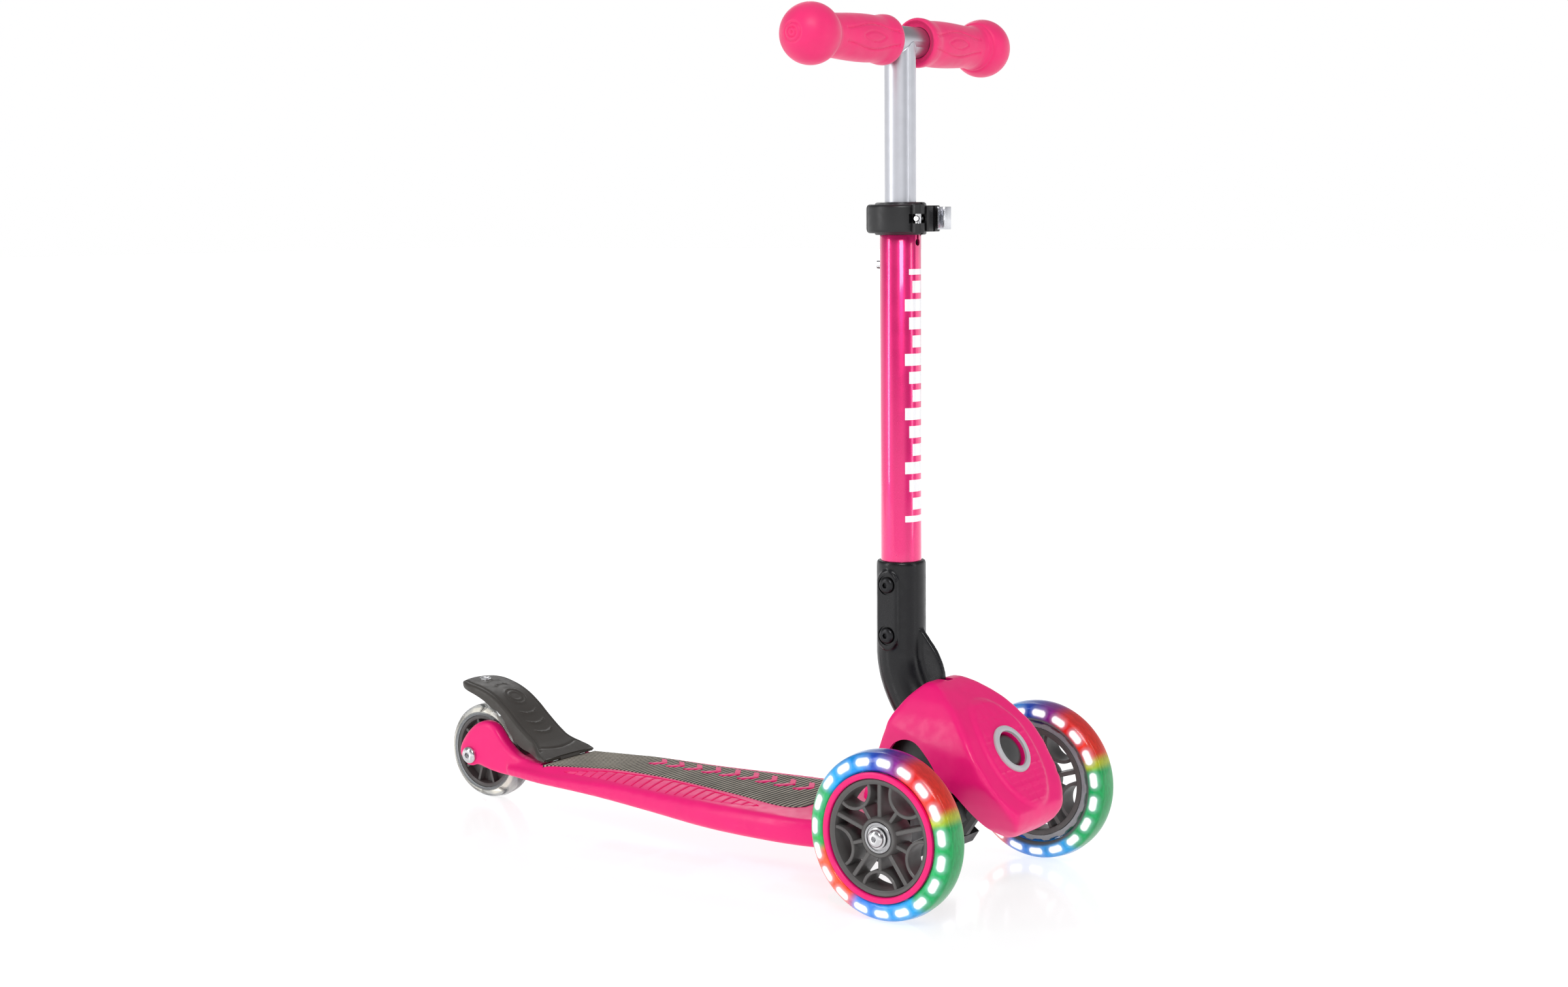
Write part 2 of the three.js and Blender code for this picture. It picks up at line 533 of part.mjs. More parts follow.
function clampLever() {
  const shape = new THREE.Shape();
  const start = THREE.MathUtils.degToRad(-30);
  const end = THREE.MathUtils.degToRad(-158);
  shape.absarc(0, 0, 24.5, start, end, true);
  shape.absarc(0, 0, 19.3, end, start, false);
  const geometry = new THREE.ExtrudeGeometry(shape, {
    depth: 16, curveSegments: 10, bevelEnabled: false,
  });
  geometry.translate(0, 0, CLAMP_MID - 8);
  const eye = rodZ(CLAMP_PIVOT.x, CLAMP_PIVOT.y, 4.7, CLAMP_MID - 8, CLAMP_MID + 8, HUB_SIDES);
  const window = rodZ(CLAMP_PIVOT.x, CLAMP_PIVOT.y, 6.5, CLAMP_MID - 3.3, CLAMP_MID + 3.3);
  const bore = rodZ(CLAMP_PIVOT.x, CLAMP_PIVOT.y, 3.2, 460, 500, HUB_SIDES);
  return cut(joined(solid(geometry), eye), window, bore);
}

function clampPieces() {
  const clamp = new THREE.Group();
  clamp.position.set(STEM_X, 0, 0);
  model.add(clamp);
  const inner = TUBE_R + GAP;
  const lip = BAR_R + 0.4;
  const collar = spunUpright([[inner, CLAMP_BOTTOM], [18.6, CLAMP_BOTTOM], [18.6, CLAMP_TOP],
    [lip, CLAMP_TOP], [lip, TUBE_TOP + GAP], [inner, TUBE_TOP + GAP], [inner, CLAMP_BOTTOM]],
  0, 0, 20);
  const ears = box(16.5, 29, -8, 8, 472.5, 491);
  const slit = box(5, 40, -1.3, 1.3, 460, 500);
  const boltHole = rodY(CLAMP_PIVOT.x, CLAMP_MID, 2.8, -30, 30, HUB_SIDES);
  piece('clamp_collar', cut(joined(collar, ears), slit, boltHole), BLACK, clamp);
  piece('clamp_lever', clampLever(), BLACK, clamp);
  const barrel = cut(rodZ(CLAMP_PIVOT.x, CLAMP_PIVOT.y, 2.95, 473.6, 490, HUB_SIDES),
    rodY(CLAMP_PIVOT.x, CLAMP_MID, 2.3, -30, 30, 12));
  piece('clamp_barrel', barrel, STEEL, clamp);
  const bracket = slab([[19.5, 8.4], [30.5, 8.4], [30.5, 1], [32.2, 1], [32.2, 8.4], [35.5, 8.4],
    [35.5, 1], [37.2, 1], [37.2, 10], [19.5, 10]], 474, 490);
  piece('clamp_bracket', cut(bracket, boltHole), SILVER, clamp);
  const head = rodY(CLAMP_PIVOT.x, CLAMP_MID, 4.5, 10.3, 13.3, HUB_SIDES);
  const bolt = joined(head, rodY(CLAMP_PIVOT.x, CLAMP_MID, 2, -15.8, 11, 12));
  piece('clamp_bolt', bolt, STEEL, clamp);
}

// ---- T-bar, grips and height pin ----
const BAR_WALL = 1.6;
const BAR_BOTTOM = 300;

function tBar() {
  const upright = rodZ(STEM_X, 0, BAR_R, BAR_BOTTOM, BAR_HEIGHT, 20);
  const cross = rodY(STEM_X, BAR_HEIGHT, 11, -100, 100);
  const bore = rodZ(STEM_X, 0, BAR_R - BAR_WALL, BAR_BOTTOM - 5, BAR_HEIGHT - 18);
  const ends = [-1, 1].map((side) => rodY(STEM_X, BAR_HEIGHT, 9.4, side * 20, side * 105));
  const pinHole = rod([STEM_X - 20, 0, PIN_Z], [STEM_X, 0, PIN_Z], 3.8, 12);
  return cut(joined(upright, cross), bore, ...ends, pinHole);
}

function grip() {
  const neck = 15.2;
  const start = Math.acos(-Math.sqrt(BALL_R ** 2 - neck ** 2) / BALL_R);
  const ball = [0, 1, 2, 3, 4, 5].map((i) => {
    const angle = start * (1 - i / 5);
    return [BALL_R * Math.sin(angle), BALL_Y + BALL_R * Math.cos(angle)];
  });
  ball[5][0] = 0;
  return spun([[0, 101], [11.3, 101], [11.3, GRIP_INNER], [15.5, GRIP_INNER], [17.6, 20.5],
    [17.6, 24], [16.2, 30], [16.6, 48], [16.2, 66], [neck, 82], ...ball], 16);
}

function barPieces() {
  piece('t_bar', tBar(), SILVER, model);
  for (const [turn, label] of [[0, 'left'], [Math.PI, 'right']]) {
    const held = piece(`grip_${label}`, grip(), PINK_SOFT, model);
    held.position.set(STEM_X, 0, BAR_HEIGHT);
    held.rotation.z = turn;
  }
  const pinOut = STEM_X - TUBE_R - 4.5;
  const pin = rod([pinOut, 0, PIN_Z], [-62, 0, PIN_Z], 3.4, 12);
  piece('height_pin', pin, STEEL, model);
  const leaf = plate([[-61.7, 455], [-61.7, 442], [-55, 416], [-48.3, 442], [-48.3, 455],
    [-49.5, 455], [-49.5, 443], [-55, 421], [-60.5, 443], [-60.5, 455]], -3, 3);
  piece('height_spring', leaf, STEEL, model);
}

frontWheel(1, 'left');
frontWheel(-1, 'right');
rearWheel();
steering();
frontCover();
deckPieces();
brakePieces();
stemPieces();
clampPieces();
barPieces();
model.position.x = FOOTPRINT_SHIFT;

export default model;
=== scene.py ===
import json
import math
from bisect import bisect_left

import bmesh
import bpy
from mathutils import Matrix, Vector


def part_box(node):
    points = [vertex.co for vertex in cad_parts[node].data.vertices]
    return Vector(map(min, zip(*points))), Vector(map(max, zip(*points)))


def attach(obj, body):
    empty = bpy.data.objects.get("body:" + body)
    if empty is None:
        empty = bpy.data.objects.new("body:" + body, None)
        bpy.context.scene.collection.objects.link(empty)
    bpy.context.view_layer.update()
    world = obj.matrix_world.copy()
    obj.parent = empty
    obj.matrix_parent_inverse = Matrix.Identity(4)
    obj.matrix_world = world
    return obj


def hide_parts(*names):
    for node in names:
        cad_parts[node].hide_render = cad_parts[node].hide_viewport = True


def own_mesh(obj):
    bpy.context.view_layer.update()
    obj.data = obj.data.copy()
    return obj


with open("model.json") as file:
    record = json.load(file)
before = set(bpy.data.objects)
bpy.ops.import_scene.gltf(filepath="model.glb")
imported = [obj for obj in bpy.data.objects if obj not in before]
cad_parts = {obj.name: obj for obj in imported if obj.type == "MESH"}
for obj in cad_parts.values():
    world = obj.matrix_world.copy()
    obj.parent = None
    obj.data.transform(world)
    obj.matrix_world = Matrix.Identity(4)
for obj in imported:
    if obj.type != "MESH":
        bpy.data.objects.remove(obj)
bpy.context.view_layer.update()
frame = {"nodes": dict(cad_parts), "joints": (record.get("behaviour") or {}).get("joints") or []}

# ---- the shared frame ----
# Shapes are drawn in millimetres about the point on the ground below the front axle, or about
# a wheel's own centre, and turned into metres when a piece is finished.
MM = 0.001
TURN = 2 * math.pi


def middle(node):
    low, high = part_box(node)
    return (low + high) / 2


GROUND = Vector((middle("rim_left").x, 0, 0))


def place_of(node):
    return (middle(node) - GROUND) / MM


def axis_of(joint_name):
    joint = next(j for j in frame["joints"] if j["name"] == joint_name)
    return Vector(joint["axis"]).normalized()


STEM = place_of("stem_tube")
HINGE = place_of("hinge_pin")
BAR_Z = place_of("grip_left").z
PIN_Z = place_of("height_pin").z
CLAMP_Z = place_of("clamp_bolt").z
REAR_AXLE = place_of("rear_axle_bolt")
BRAKE_PIN = place_of("brake_pin")
BUTTON_NORMAL = -axis_of("fold_button_press")
ROUND = 64  # segments of a small round piece
FINE_ROUND = 128  # segments of a wheel-sized one


# ---- mesh helpers ----
class Shape:
    """Points in millimetres and the faces between them."""

    def __init__(self):
        self.points = []
        self.faces = []

    def add(self, made, matrix=None):
        points, faces = made
        start = len(self.points)
        self.points += [matrix @ Vector(p) if matrix else Vector(p) for p in points]
        self.faces += [[start + i for i in face] for face in faces]
        return self


SIDE = Matrix(((1, 0, 0, 0), (0, 0, 1, 0), (0, 1, 0, 0), (0, 0, 0, 1)))  # drawn in X and Z
FRONT = Matrix(((0, 0, 1, 0), (1, 0, 0, 0), (0, 1, 0, 0), (0, 0, 0, 1)))  # drawn in Y and Z
ALONG_Y = Matrix(((1, 0, 0, 0), (0, 0, 1, 0), (0, -1, 0, 0), (0, 0, 0, 1)))  # Z becomes Y
HALF_TURN = Matrix.Rotation(math.pi, 4, "Z")


def shift(x=0, y=0, z=0):
    return Matrix.Translation((x, y, z))


def revolve(profile, segments=ROUND, loop=False, radius_at=None):
    """A profile of (radius, height) points turned about local Z, closed on itself if loop."""
    points, rows, faces = [], [], []
    for row, (radius, height) in enumerate(profile):
        count = 1 if radius < 1e-6 else segments
        rows.append([len(points) + i for i in range(count)])
        for i in range(count):
            angle = TURN * i / segments
            r = radius_at(row, angle, radius) if radius_at and count > 1 else radius
            points.append((r * math.cos(angle), r * math.sin(angle), height))
    following = rows[1:] + rows[:1] if loop else rows[1:]
    for low, high in zip(rows, following):
        for i in range(segments):
            j = (i + 1) % segments
            quad = [low[i % len(low)], low[j % len(low)], high[j % len(high)], high[i % len(high)]]
            face = list(dict.fromkeys(quad))
            if len(face) > 2:
                faces.append(face)
    if not loop:
        faces += [row for row in (rows[0], rows[-1]) if len(row) > 1]
    return points, faces


def loft(rings, wrap=False):
    """A skin over rings of points, with a cap at each end, or round in a loop if wrap."""
    count = len(rings[0])
    points = [p for ring in rings for p in ring]
    faces = []
    for i in range(len(rings) if wrap else len(rings) - 1):
        a, b = i * count, (i + 1) % len(rings) * count
        for j in range(count):
            k = (j + 1) % count
            faces.append((a + j, a + k, b + k, b + j))
    if not wrap:
        faces += [tuple(range(count)), tuple(range(len(points) - count, len(points)))]
    return points, faces


def rod(radius, low, high, segments):
    """A plain round rod along local Z, or the drill for a round hole."""
    return revolve([(0, low), (radius, low), (radius, high), (0, high)], segments)


def smooth_line(pairs, steps=6):
    """More points on a smooth curve through the given ones."""
    line, last = [], len(pairs) - 1
    for i in range(last):
        a, b, c, d = (Vector(pairs[min(max(k, 0), last)]) for k in (i - 1, i, i + 1, i + 2))
        for k in range(steps):
            t = k / steps
            line.append(0.5 * (2 * b + (c - a) * t + (2 * a - 5 * b + 4 * c - d) * t * t
                               + (3 * b - a - 3 * c + d) * t ** 3))
    return [*line, Vector(pairs[last])]


def value_along(pairs, steps=6):
    """A function that reads the second number of a smooth curve at any first number."""
    line = sorted((p[0], p[1]) for p in smooth_line(pairs, steps))
    keys = [p[0] for p in line]

    def value(x):
        i = min(max(bisect_left(keys, x), 1), len(line) - 1)
        (x0, y0), (x1, y1) = line[i - 1], line[i]
        share = min(max((x - x0) / max(x1 - x0, 1e-9), 0), 1)
        return y0 + (y1 - y0) * share

    return value


def inset(outline, distance):
    """Moves every edge of an outline inwards by the same distance."""
    points = [Vector(p) for p in outline]
    area = sum(a.x * b.y - b.x * a.y for a, b in zip(points, points[1:] + points[:1]))
    moved = []
    for i, point in enumerate(points):
        first = (point - points[i - 1]).normalized()
        second = (points[(i + 1) % len(points)] - point).normalized()
        normals = [Vector((-d.y, d.x)) * (1 if area > 0 else -1) for d in (first, second)]
        mean = (normals[0] + normals[1]).normalized()
        moved.append(point + mean * distance / max(mean.dot(normals[0]), 0.5))
    return moved


def plate(outline, low, high, radius=0.0, steps=3):
    """A flat outline from height low to height high, its edges rounded inwards."""
    if radius == 0:
        return loft([[(p[0], p[1], z) for p in outline] for z in (low, high)])
    rings = []
    for end, sign in ((low, 1), (high, -1)):
        turns = range(steps + 1) if sign > 0 else range(steps, -1, -1)
        for k in turns:
            angle = TURN / 4 * k / steps
            ring = inset(outline, radius * (1 - math.sin(angle)))
            rings.append([(p.x, p.y, end + sign * radius * (1 - math.cos(angle))) for p in ring])
    return loft(rings)


def strip(path, half, low, high, chamfer=0.4):
    """A raised rib along a flat path, from height low to height high."""
    points = [Vector(p) for p in path]
    rings = []
    for i, point in enumerate(points):
        along = (points[min(i + 1, len(points) - 1)] - points[max(i - 1, 0)]).normalized()
        across = Vector((-along.y, along.x))
        corners = [(-half, low), (half, low), (half, high - chamfer), (half - chamfer, high),
                   (chamfer - half, high), (-half, high - chamfer)]
        rings.append([(*(point + across * w), z) for w, z in corners])
    return loft(rings)


def tube_along(path, radius, sides=10, wrap=False):
    """A round rod along a path in space."""
    points = [Vector(p) for p in path]
    rings = []
    last = len(points)
    for i, point in enumerate(points):
        before = points[i - 1] if wrap else points[max(i - 1, 0)]
        after = points[(i + 1) % last] if wrap else points[min(i + 1, last - 1)]
        along = (after - before).normalized()
        side = along.cross(Vector((0, 0, 1)) if abs(along.z) < 0.9 else Vector((1, 0, 0)))
        side.normalize()
        up = side.cross(along)
        angles = [TURN * k / sides for k in range(sides)]
        rings.append([point + (side * math.cos(a) + up * math.sin(a)) * radius for a in angles])
    return loft(rings, wrap)


def arc(centre, radius, start, end, count=16):
    angles = [math.radians(start + (end - start) * i / count) for i in range(count + 1)]
    return [(centre[0] + radius * math.cos(a), centre[1] + radius * math.sin(a)) for a in angles]


def bump(distance, width):
    """1 where distance is 0, falling softly to 0 a few widths away."""
    return math.exp(-(distance / width) ** 2)


def ease(low, high, x):
    share = min(max((x - low) / (high - low), 0), 1)
    return share * share * (3 - 2 * share)


# ---- objects ----
def solid(made, matrix=None):
    """A temporary object in millimetres, its faces turned outwards."""
    shape = made if isinstance(made, Shape) else Shape().add(made, matrix)
    mesh = bpy.data.meshes.new("shape")
    mesh.from_pydata([tuple(p) for p in shape.points], [], shape.faces)
    work = bmesh.new()
    work.from_mesh(mesh)
    bmesh.ops.remove_doubles(work, verts=work.verts, dist=1e-5)
    bmesh.ops.recalc_face_normals(work, faces=work.faces)
    work.to_mesh(mesh)
    work.free()
    body = bpy.data.objects.new("shape", mesh)
    bpy.context.scene.collection.objects.link(body)
    return body


def apply_modifiers(body):
    bpy.context.view_layer.update()
    seen = body.evaluated_get(bpy.context.evaluated_depsgraph_get())
    mesh = bpy.data.meshes.new_from_object(seen)
    body.modifiers.clear()
    body.data = mesh
    return body


def combine(body, operation, *tools):
    for tool in tools:
        modifier = body.modifiers.new("join", "BOOLEAN")
        modifier.operation = operation
        modifier.solver = "MANIFOLD"
        modifier.object = tool
    apply_modifiers(body)
    for tool in tools:
        bpy.data.objects.remove(tool)
    return body


def cut(body, *tools):
    return combine(body, "DIFFERENCE", *tools)


def join(body, *tools):
    return combine(body, "UNION", *tools)


def melt(body, voxel, iterations):
    """Blends joined solids into one skin with soft fillets."""
    remesh = body.modifiers.new("remesh", "REMESH")
    remesh.mode = "VOXEL"
    remesh.voxel_size = voxel
    soften = body.modifiers.new("soften", "SMOOTH")
    soften.factor = 0.5
    soften.iterations = iterations
    return apply_modifiers(body)


def soft_edges(body, width, segments=2, angle=30):
    bevel = body.modifiers.new("edges", "BEVEL")
    bevel.width = width
    bevel.segments = segments
    bevel.limit_method = "ANGLE"
    bevel.angle_limit = math.radians(angle)
    return apply_modifiers(body)


def shade(mesh, angle=38):
    mesh.polygons.foreach_set("use_smooth", [True] * len(mesh.polygons))
    mesh.set_sharp_from_angle(angle=math.radians(angle))


def finish(name, body, rides_on, finish_material, nodes=(), origin=GROUND, angle=38):
    """Names a solid, turns it into metres at its place and makes it stand for CAD nodes."""
    if not isinstance(body, bpy.types.Object):
        body = solid(body)
    body.name = name
    body.data.name = name
    body.data.transform(Matrix.Scale(MM, 4))
    body.data.materials.clear()
    body.data.materials.append(finish_material)
    shade(body.data, angle)
    body.location = origin
    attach(body, rides_on)
    if nodes:
        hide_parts(*nodes)
    return body


def compress(body):
    """Gives a spring or bumper a mesh of its own."""
    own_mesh(body)


# ---- material helpers ----
class Finish:
    """A Principled material and short ways to add nodes to it."""

    def __init__(self, name, **sockets):
        self.material = bpy.data.materials.new(name)
        self.material.use_nodes = True
        self.tree = self.material.node_tree
        self.shader = self.tree.nodes["Principled BSDF"]
        for socket, value in sockets.items():
            self.shader.inputs[socket.replace("_", " ")].default_value = value
        self.place = self.tree.nodes.new("ShaderNodeTexCoord").outputs["Object"]

    def link(self, source, target):
        self.tree.links.new(source, target)

    def noise(self, size_mm, detail=3.0, stretch=(1, 1, 1)):
        """Noise whose spots are about size_mm across."""
        mapping = self.tree.nodes.new("ShaderNodeMapping")
        mapping.inputs["Scale"].default_value = stretch
        texture = self.tree.nodes.new("ShaderNodeTexNoise")
        texture.inputs["Scale"].default_value = 1 / (size_mm * MM)
        texture.inputs["Detail"].default_value = detail
        self.link(self.place, mapping.inputs["Vector"])
        self.link(mapping.outputs["Vector"], texture.inputs["Vector"])
        return texture.outputs["Fac"]

    def math(self, operation, first, second=0.0, third=0.0):
        node = self.tree.nodes.new("ShaderNodeMath")
        node.operation = operation
        for socket, value in zip(node.inputs, (first, second, third)):
            if isinstance(value, (int, float)):
                socket.default_value = value
            else:
                self.link(value, socket)
        return node.outputs[0]

    def spread(self, source, low, high, start=0.3, end=0.7):
        """Maps start..end of the source to low..high."""
        node = self.tree.nodes.new("ShaderNodeMapRange")
        node.interpolation_type = "SMOOTHSTEP"
        values = (("From Min", start), ("From Max", end), ("To Min", low), ("To Max", high))
        for socket, value in values:
            node.inputs[socket].default_value = value
        self.link(source, node.inputs["Value"])
        return node.outputs["Result"]

    def mix(self, share, first, second):
        node = self.tree.nodes.new("ShaderNodeMix")
        node.data_type = "RGBA"
        self.link(share, node.inputs["Factor"])
        for socket, value in ((node.inputs[6], first), (node.inputs[7], second)):
            if isinstance(value, tuple):
                socket.default_value = (*value, 1)
            else:
                self.link(value, socket)
        return node.outputs[2]

    def wheel_radius(self, x, z):
        """Distance from the wheel's axle in mm."""
        squares = (self.math("MULTIPLY", v, v) for v in (x, z))
        return self.math("DIVIDE", self.math("SQRT", self.math("ADD", *squares)), MM)

    def xyz(self):
        node = self.tree.nodes.new("ShaderNodeSeparateXYZ")
        self.link(self.place, node.inputs[0])
        return node.outputs

    def paint(self, socket, source):
        self.link(source, self.shader.inputs[socket])

    def relief(self, height, strength, depth_mm):
        node = self.tree.nodes.new("ShaderNodeBump")
        node.inputs["Strength"].default_value = strength
        node.inputs["Distance"].default_value = depth_mm * MM
        self.link(height, node.inputs["Height"])
        self.link(node.outputs["Normal"], self.shader.inputs["Normal"])


def tone(color, factor):
    return tuple(min(c * factor, 1) for c in color)


def moulded(name, color, roughness, grain_mm=0.5, grain=0.25, vary=0.06, **sockets):
    """Moulded plastic or rubber: a fine grain, slight clouds of colour and scuffed gloss."""
    look = Finish(name, **sockets)
    clouds = look.spread(look.noise(22, 4), 0, 1)
    base = look.mix(clouds, tone(color, 1 - vary), tone(color, 1 + vary))
    specks = look.spread(look.noise(1.6, 2), 0, 0.5, 0.62, 0.74)
    look.paint("Base Color", look.mix(specks, base, tone(color, 1 - 2 * vary)))
    look.paint("Roughness", look.spread(look.noise(7, 6), roughness - 0.05, roughness + 0.07))
    look.relief(look.noise(grain_mm, 2), grain, 0.05)
    return look.material


def metal(name, color, roughness, stretch=(1, 1, 1), scratch_mm=0.25, **sockets):
    """Bare metal with fine marks drawn out along the least stretched axis."""
    look = Finish(name, Metallic=1.0, **sockets)
    marks = look.noise(scratch_mm, 3, stretch)
    clouds = look.spread(look.noise(9, 4), 0, 1)
    look.paint("Base Color", look.mix(clouds, tone(color, 0.95), color))
    look.paint("Roughness", look.spread(marks, roughness - 0.03, roughness + 0.04))
    look.relief(marks, 0.05, 0.01)
    return look.material


# ---- colours, linear ----
PINK = (0.90, 0.006, 0.185)
GRIP_PINK = (0.85, 0.012, 0.155)
BLACK = (0.007, 0.007, 0.008)
WARM_GREY = (0.042, 0.037, 0.031)
RIM_GREY = (0.10, 0.096, 0.093)
SILVER = (0.56, 0.57, 0.61)
WHITE = (0.95, 0.95, 0.96)


BAR_PITCH = 13.0  # between the printed bars on the stem, mm
BAR_SHARE = 0.66  # of the pitch that is printed
PRINT_LOW, PRINT_HIGH = 264, 446  # heights between which the bars are printed, mm


def stem_paint():
    """Metallic pink lacquer with a printed ladder of plain white bars down the front."""
    look = Finish("stem_paint", Metallic=0.55, Coat_Weight=1.0, Coat_Roughness=0.06)
    x, y, z = look.xyz()
    flakes = look.spread(look.noise(0.35, 1), 0, 1, 0.3, 0.8)
    lacquer = look.mix(flakes, (0.82, 0.004, 0.17), (0.90, 0.02, 0.22))
    local_z = look.math("DIVIDE", z, MM)
    step = look.math("FRACT", look.math("DIVIDE", local_z, BAR_PITCH))
    bar = look.math("LESS_THAN", step, BAR_SHARE)
    rung = look.math("FLOOR", look.math("DIVIDE", local_z, BAR_PITCH))
    third = look.math("FRACT", look.math("DIVIDE", rung, 3))
    reach = look.math("MULTIPLY_ADD", third, 7.5 * MM, 5.4 * MM)
    near = look.math("LESS_THAN", look.math("ABSOLUTE", y), reach)
    front = look.math("GREATER_THAN", look.math("SUBTRACT", x, STEM.x * MM), 0.0)
    low = look.math("GREATER_THAN", local_z, PRINT_LOW)
    high = look.math("LESS_THAN", local_z, PRINT_HIGH)
    print_area = bar
    for limit in (near, front, low, high):
        print_area = look.math("MULTIPLY", print_area, limit)
    look.paint("Base Color", look.mix(print_area, lacquer, WHITE))
    look.paint("Metallic", look.math("MULTIPLY_ADD", print_area, -0.55, 0.55))
    look.paint("Roughness", look.spread(look.noise(14, 4), 0.26, 0.34))
    look.relief(look.noise(0.4, 2), 0.05, 0.02)
    return look.material


SPOTS = 19  # lights in each front tyre
SPOT_RING = 53.2  # radius of their circle, mm
FIRST_SPOT = 84.2  # degrees from the front

# Colour of the lit tyre against the angle from the front, in degrees, upwards over the top.
GLOW = [
    (-180, (0.01, 0.42, 0.10)), (-168, (0.03, 0.45, 0.08)), (-160, (0.85, 0.12, 0.05)),
    (-120, (0.90, 0.10, 0.04)), (-108, (0.05, 0.25, 0.85)), (-58, (0.01, 0.40, 0.90)),
    (-48, (0.0, 0.42, 0.12)), (14, (0.0, 0.42, 0.10)), (21, (0.55, 0.60, 0.02)),
    (28, (0.88, 0.04, 0.02)), (62, (0.86, 0.02, 0.02)), (76, (0.25, 0.02, 0.30)),
    (92, (0.01, 0.06, 0.50)), (108, (0.0, 0.30, 0.85)), (140, (0.0, 0.40, 0.88)),
    (150, (0.02, 0.42, 0.14)), (180, (0.01, 0.42, 0.10)),
]


def lit_tyre(name, outer_side):
    """Clear rubber lit from within: bands of colour round the wheel and soft white spots."""
    look = Finish(name, Coat_Weight=0.45, Coat_Roughness=0.05, Roughness=0.3,
                  Specular_IOR_Level=0.25)
    x, y, z = look.xyz()
    angle = look.math("ARCTAN2", z, x)
    ramp = look.tree.nodes.new("ShaderNodeValToRGB")
    ramp.color_ramp.interpolation = "EASE"
    stops = ramp.color_ramp.elements
    for i, (degrees, color) in enumerate(GLOW):
        spot = (degrees + 180) / 360
        stop = stops[i] if i < 2 else stops.new(spot)
        stop.position = spot
        stop.color = (*color, 1)
    look.link(look.math("MULTIPLY_ADD", angle, 1 / TURN, 0.5), ramp.inputs["Fac"])
    radius = look.wheel_radius(x, z)
    # Along the circle: the distance to the nearest spot's middle.
    turned = look.math("SUBTRACT", angle, math.radians(FIRST_SPOT))
    share = look.math("MULTIPLY", turned, SPOTS / TURN)
    nearest = look.math("SUBTRACT", look.math("FRACT", look.math("ADD", share, 100.5)), 0.5)
    along = look.math("MULTIPLY", nearest, TURN * SPOT_RING / SPOTS)
    across = look.math("SUBTRACT", radius, SPOT_RING)
    # A capsule: how far outside its straight middle part a point lies.
    past = look.math("MAXIMUM", look.math("SUBTRACT", look.math("ABSOLUTE", along), 3.1), 0.0)
    gap = look.math("SQRT", look.math("ADD", look.math("MULTIPLY", past, past),
                                      look.math("MULTIPLY", across, across)))
    spot = look.spread(gap, 1.0, 0.0, 1.3, 3.5)
    halo = look.spread(gap, 0.3, 0.0, 2.0, 6.0)
    depth = look.spread(radius, 1.0, 0.62, 55.0, 60.0)
    streaks = look.spread(look.noise(5, 5, (1, 3, 1)), 0.82, 1.1)
    shaded = look.tree.nodes.new("ShaderNodeVectorMath")
    shaded.operation = "SCALE"
    look.link(ramp.outputs["Color"], shaded.inputs[0])
    look.link(look.math("MULTIPLY", depth, streaks), shaded.inputs["Scale"])
    glow = look.mix(halo, shaded.outputs[0], (0.55, 0.7, 0.85))
    inner_face = look.math("LESS_THAN", look.math("MULTIPLY", y, outer_side), -9.0 * MM)
    core = look.math("MULTIPLY", inner_face, look.spread(radius, 1.0, 0.0, 47.5, 50.5))
    glow = look.mix(core, glow, (0.10, 0.11, 0.12))
    glow = look.mix(spot, glow, (1.0, 1.0, 1.0))
    look.paint("Base Color", glow)
    look.paint("Emission Color", glow)
    look.paint("Emission Strength", look.math("MULTIPLY_ADD", spot, 0.6, 0.16))
    look.relief(look.noise(3, 3), 0.06, 0.05)
    return look.material


def clear_rubber():
    """Smoky clear rubber of the rear tyre."""
    look = Finish("clear_rubber", Transmission_Weight=0.85, IOR=1.2, Coat_Weight=0.6,
                  Coat_Roughness=0.05)
    x, _, z = look.xyz()
    radius = look.wheel_radius(x, z)
    band = look.math("MULTIPLY", look.spread(radius, 0, 1, 32.5, 34),
                     look.spread(radius, 1, 0, 36, 37.5))
    look.paint("Base Color", look.mix(band, (0.40, 0.42, 0.43), (0.93, 0.90, 0.80)))
    look.paint("Roughness", look.spread(look.noise(8, 4), 0.04, 0.1))
    look.relief(look.noise(12, 2), 0.05, 0.05)
    return look.material


RIDGE_PITCH = 3.9  # between the ridges of the grip pad, mm


def ridged_pad():
    """Dark rubber whose ridges are paler along their tops, more in some places than others."""
    look = Finish("ridged_rubber")
    x, _, _ = look.xyz()
    wave = look.math("SINE", look.math("MULTIPLY", x, TURN / (RIDGE_PITCH * MM)))
    crest = look.spread(wave, 0, 1, -0.35, 0.5)
    # Paler colour along the ridge tops, its strength varying with noise.
    pale_tops = look.math("MULTIPLY", crest, look.spread(look.noise(18, 4), 0.75, 1.0))
    look.paint("Base Color", look.mix(pale_tops, (0.018, 0.017, 0.015), (0.46, 0.42, 0.34)))
    look.paint("Roughness", look.spread(look.noise(5, 5), 0.62, 0.78))
    look.relief(look.noise(0.45, 2), 0.3, 0.06)
    return look.material

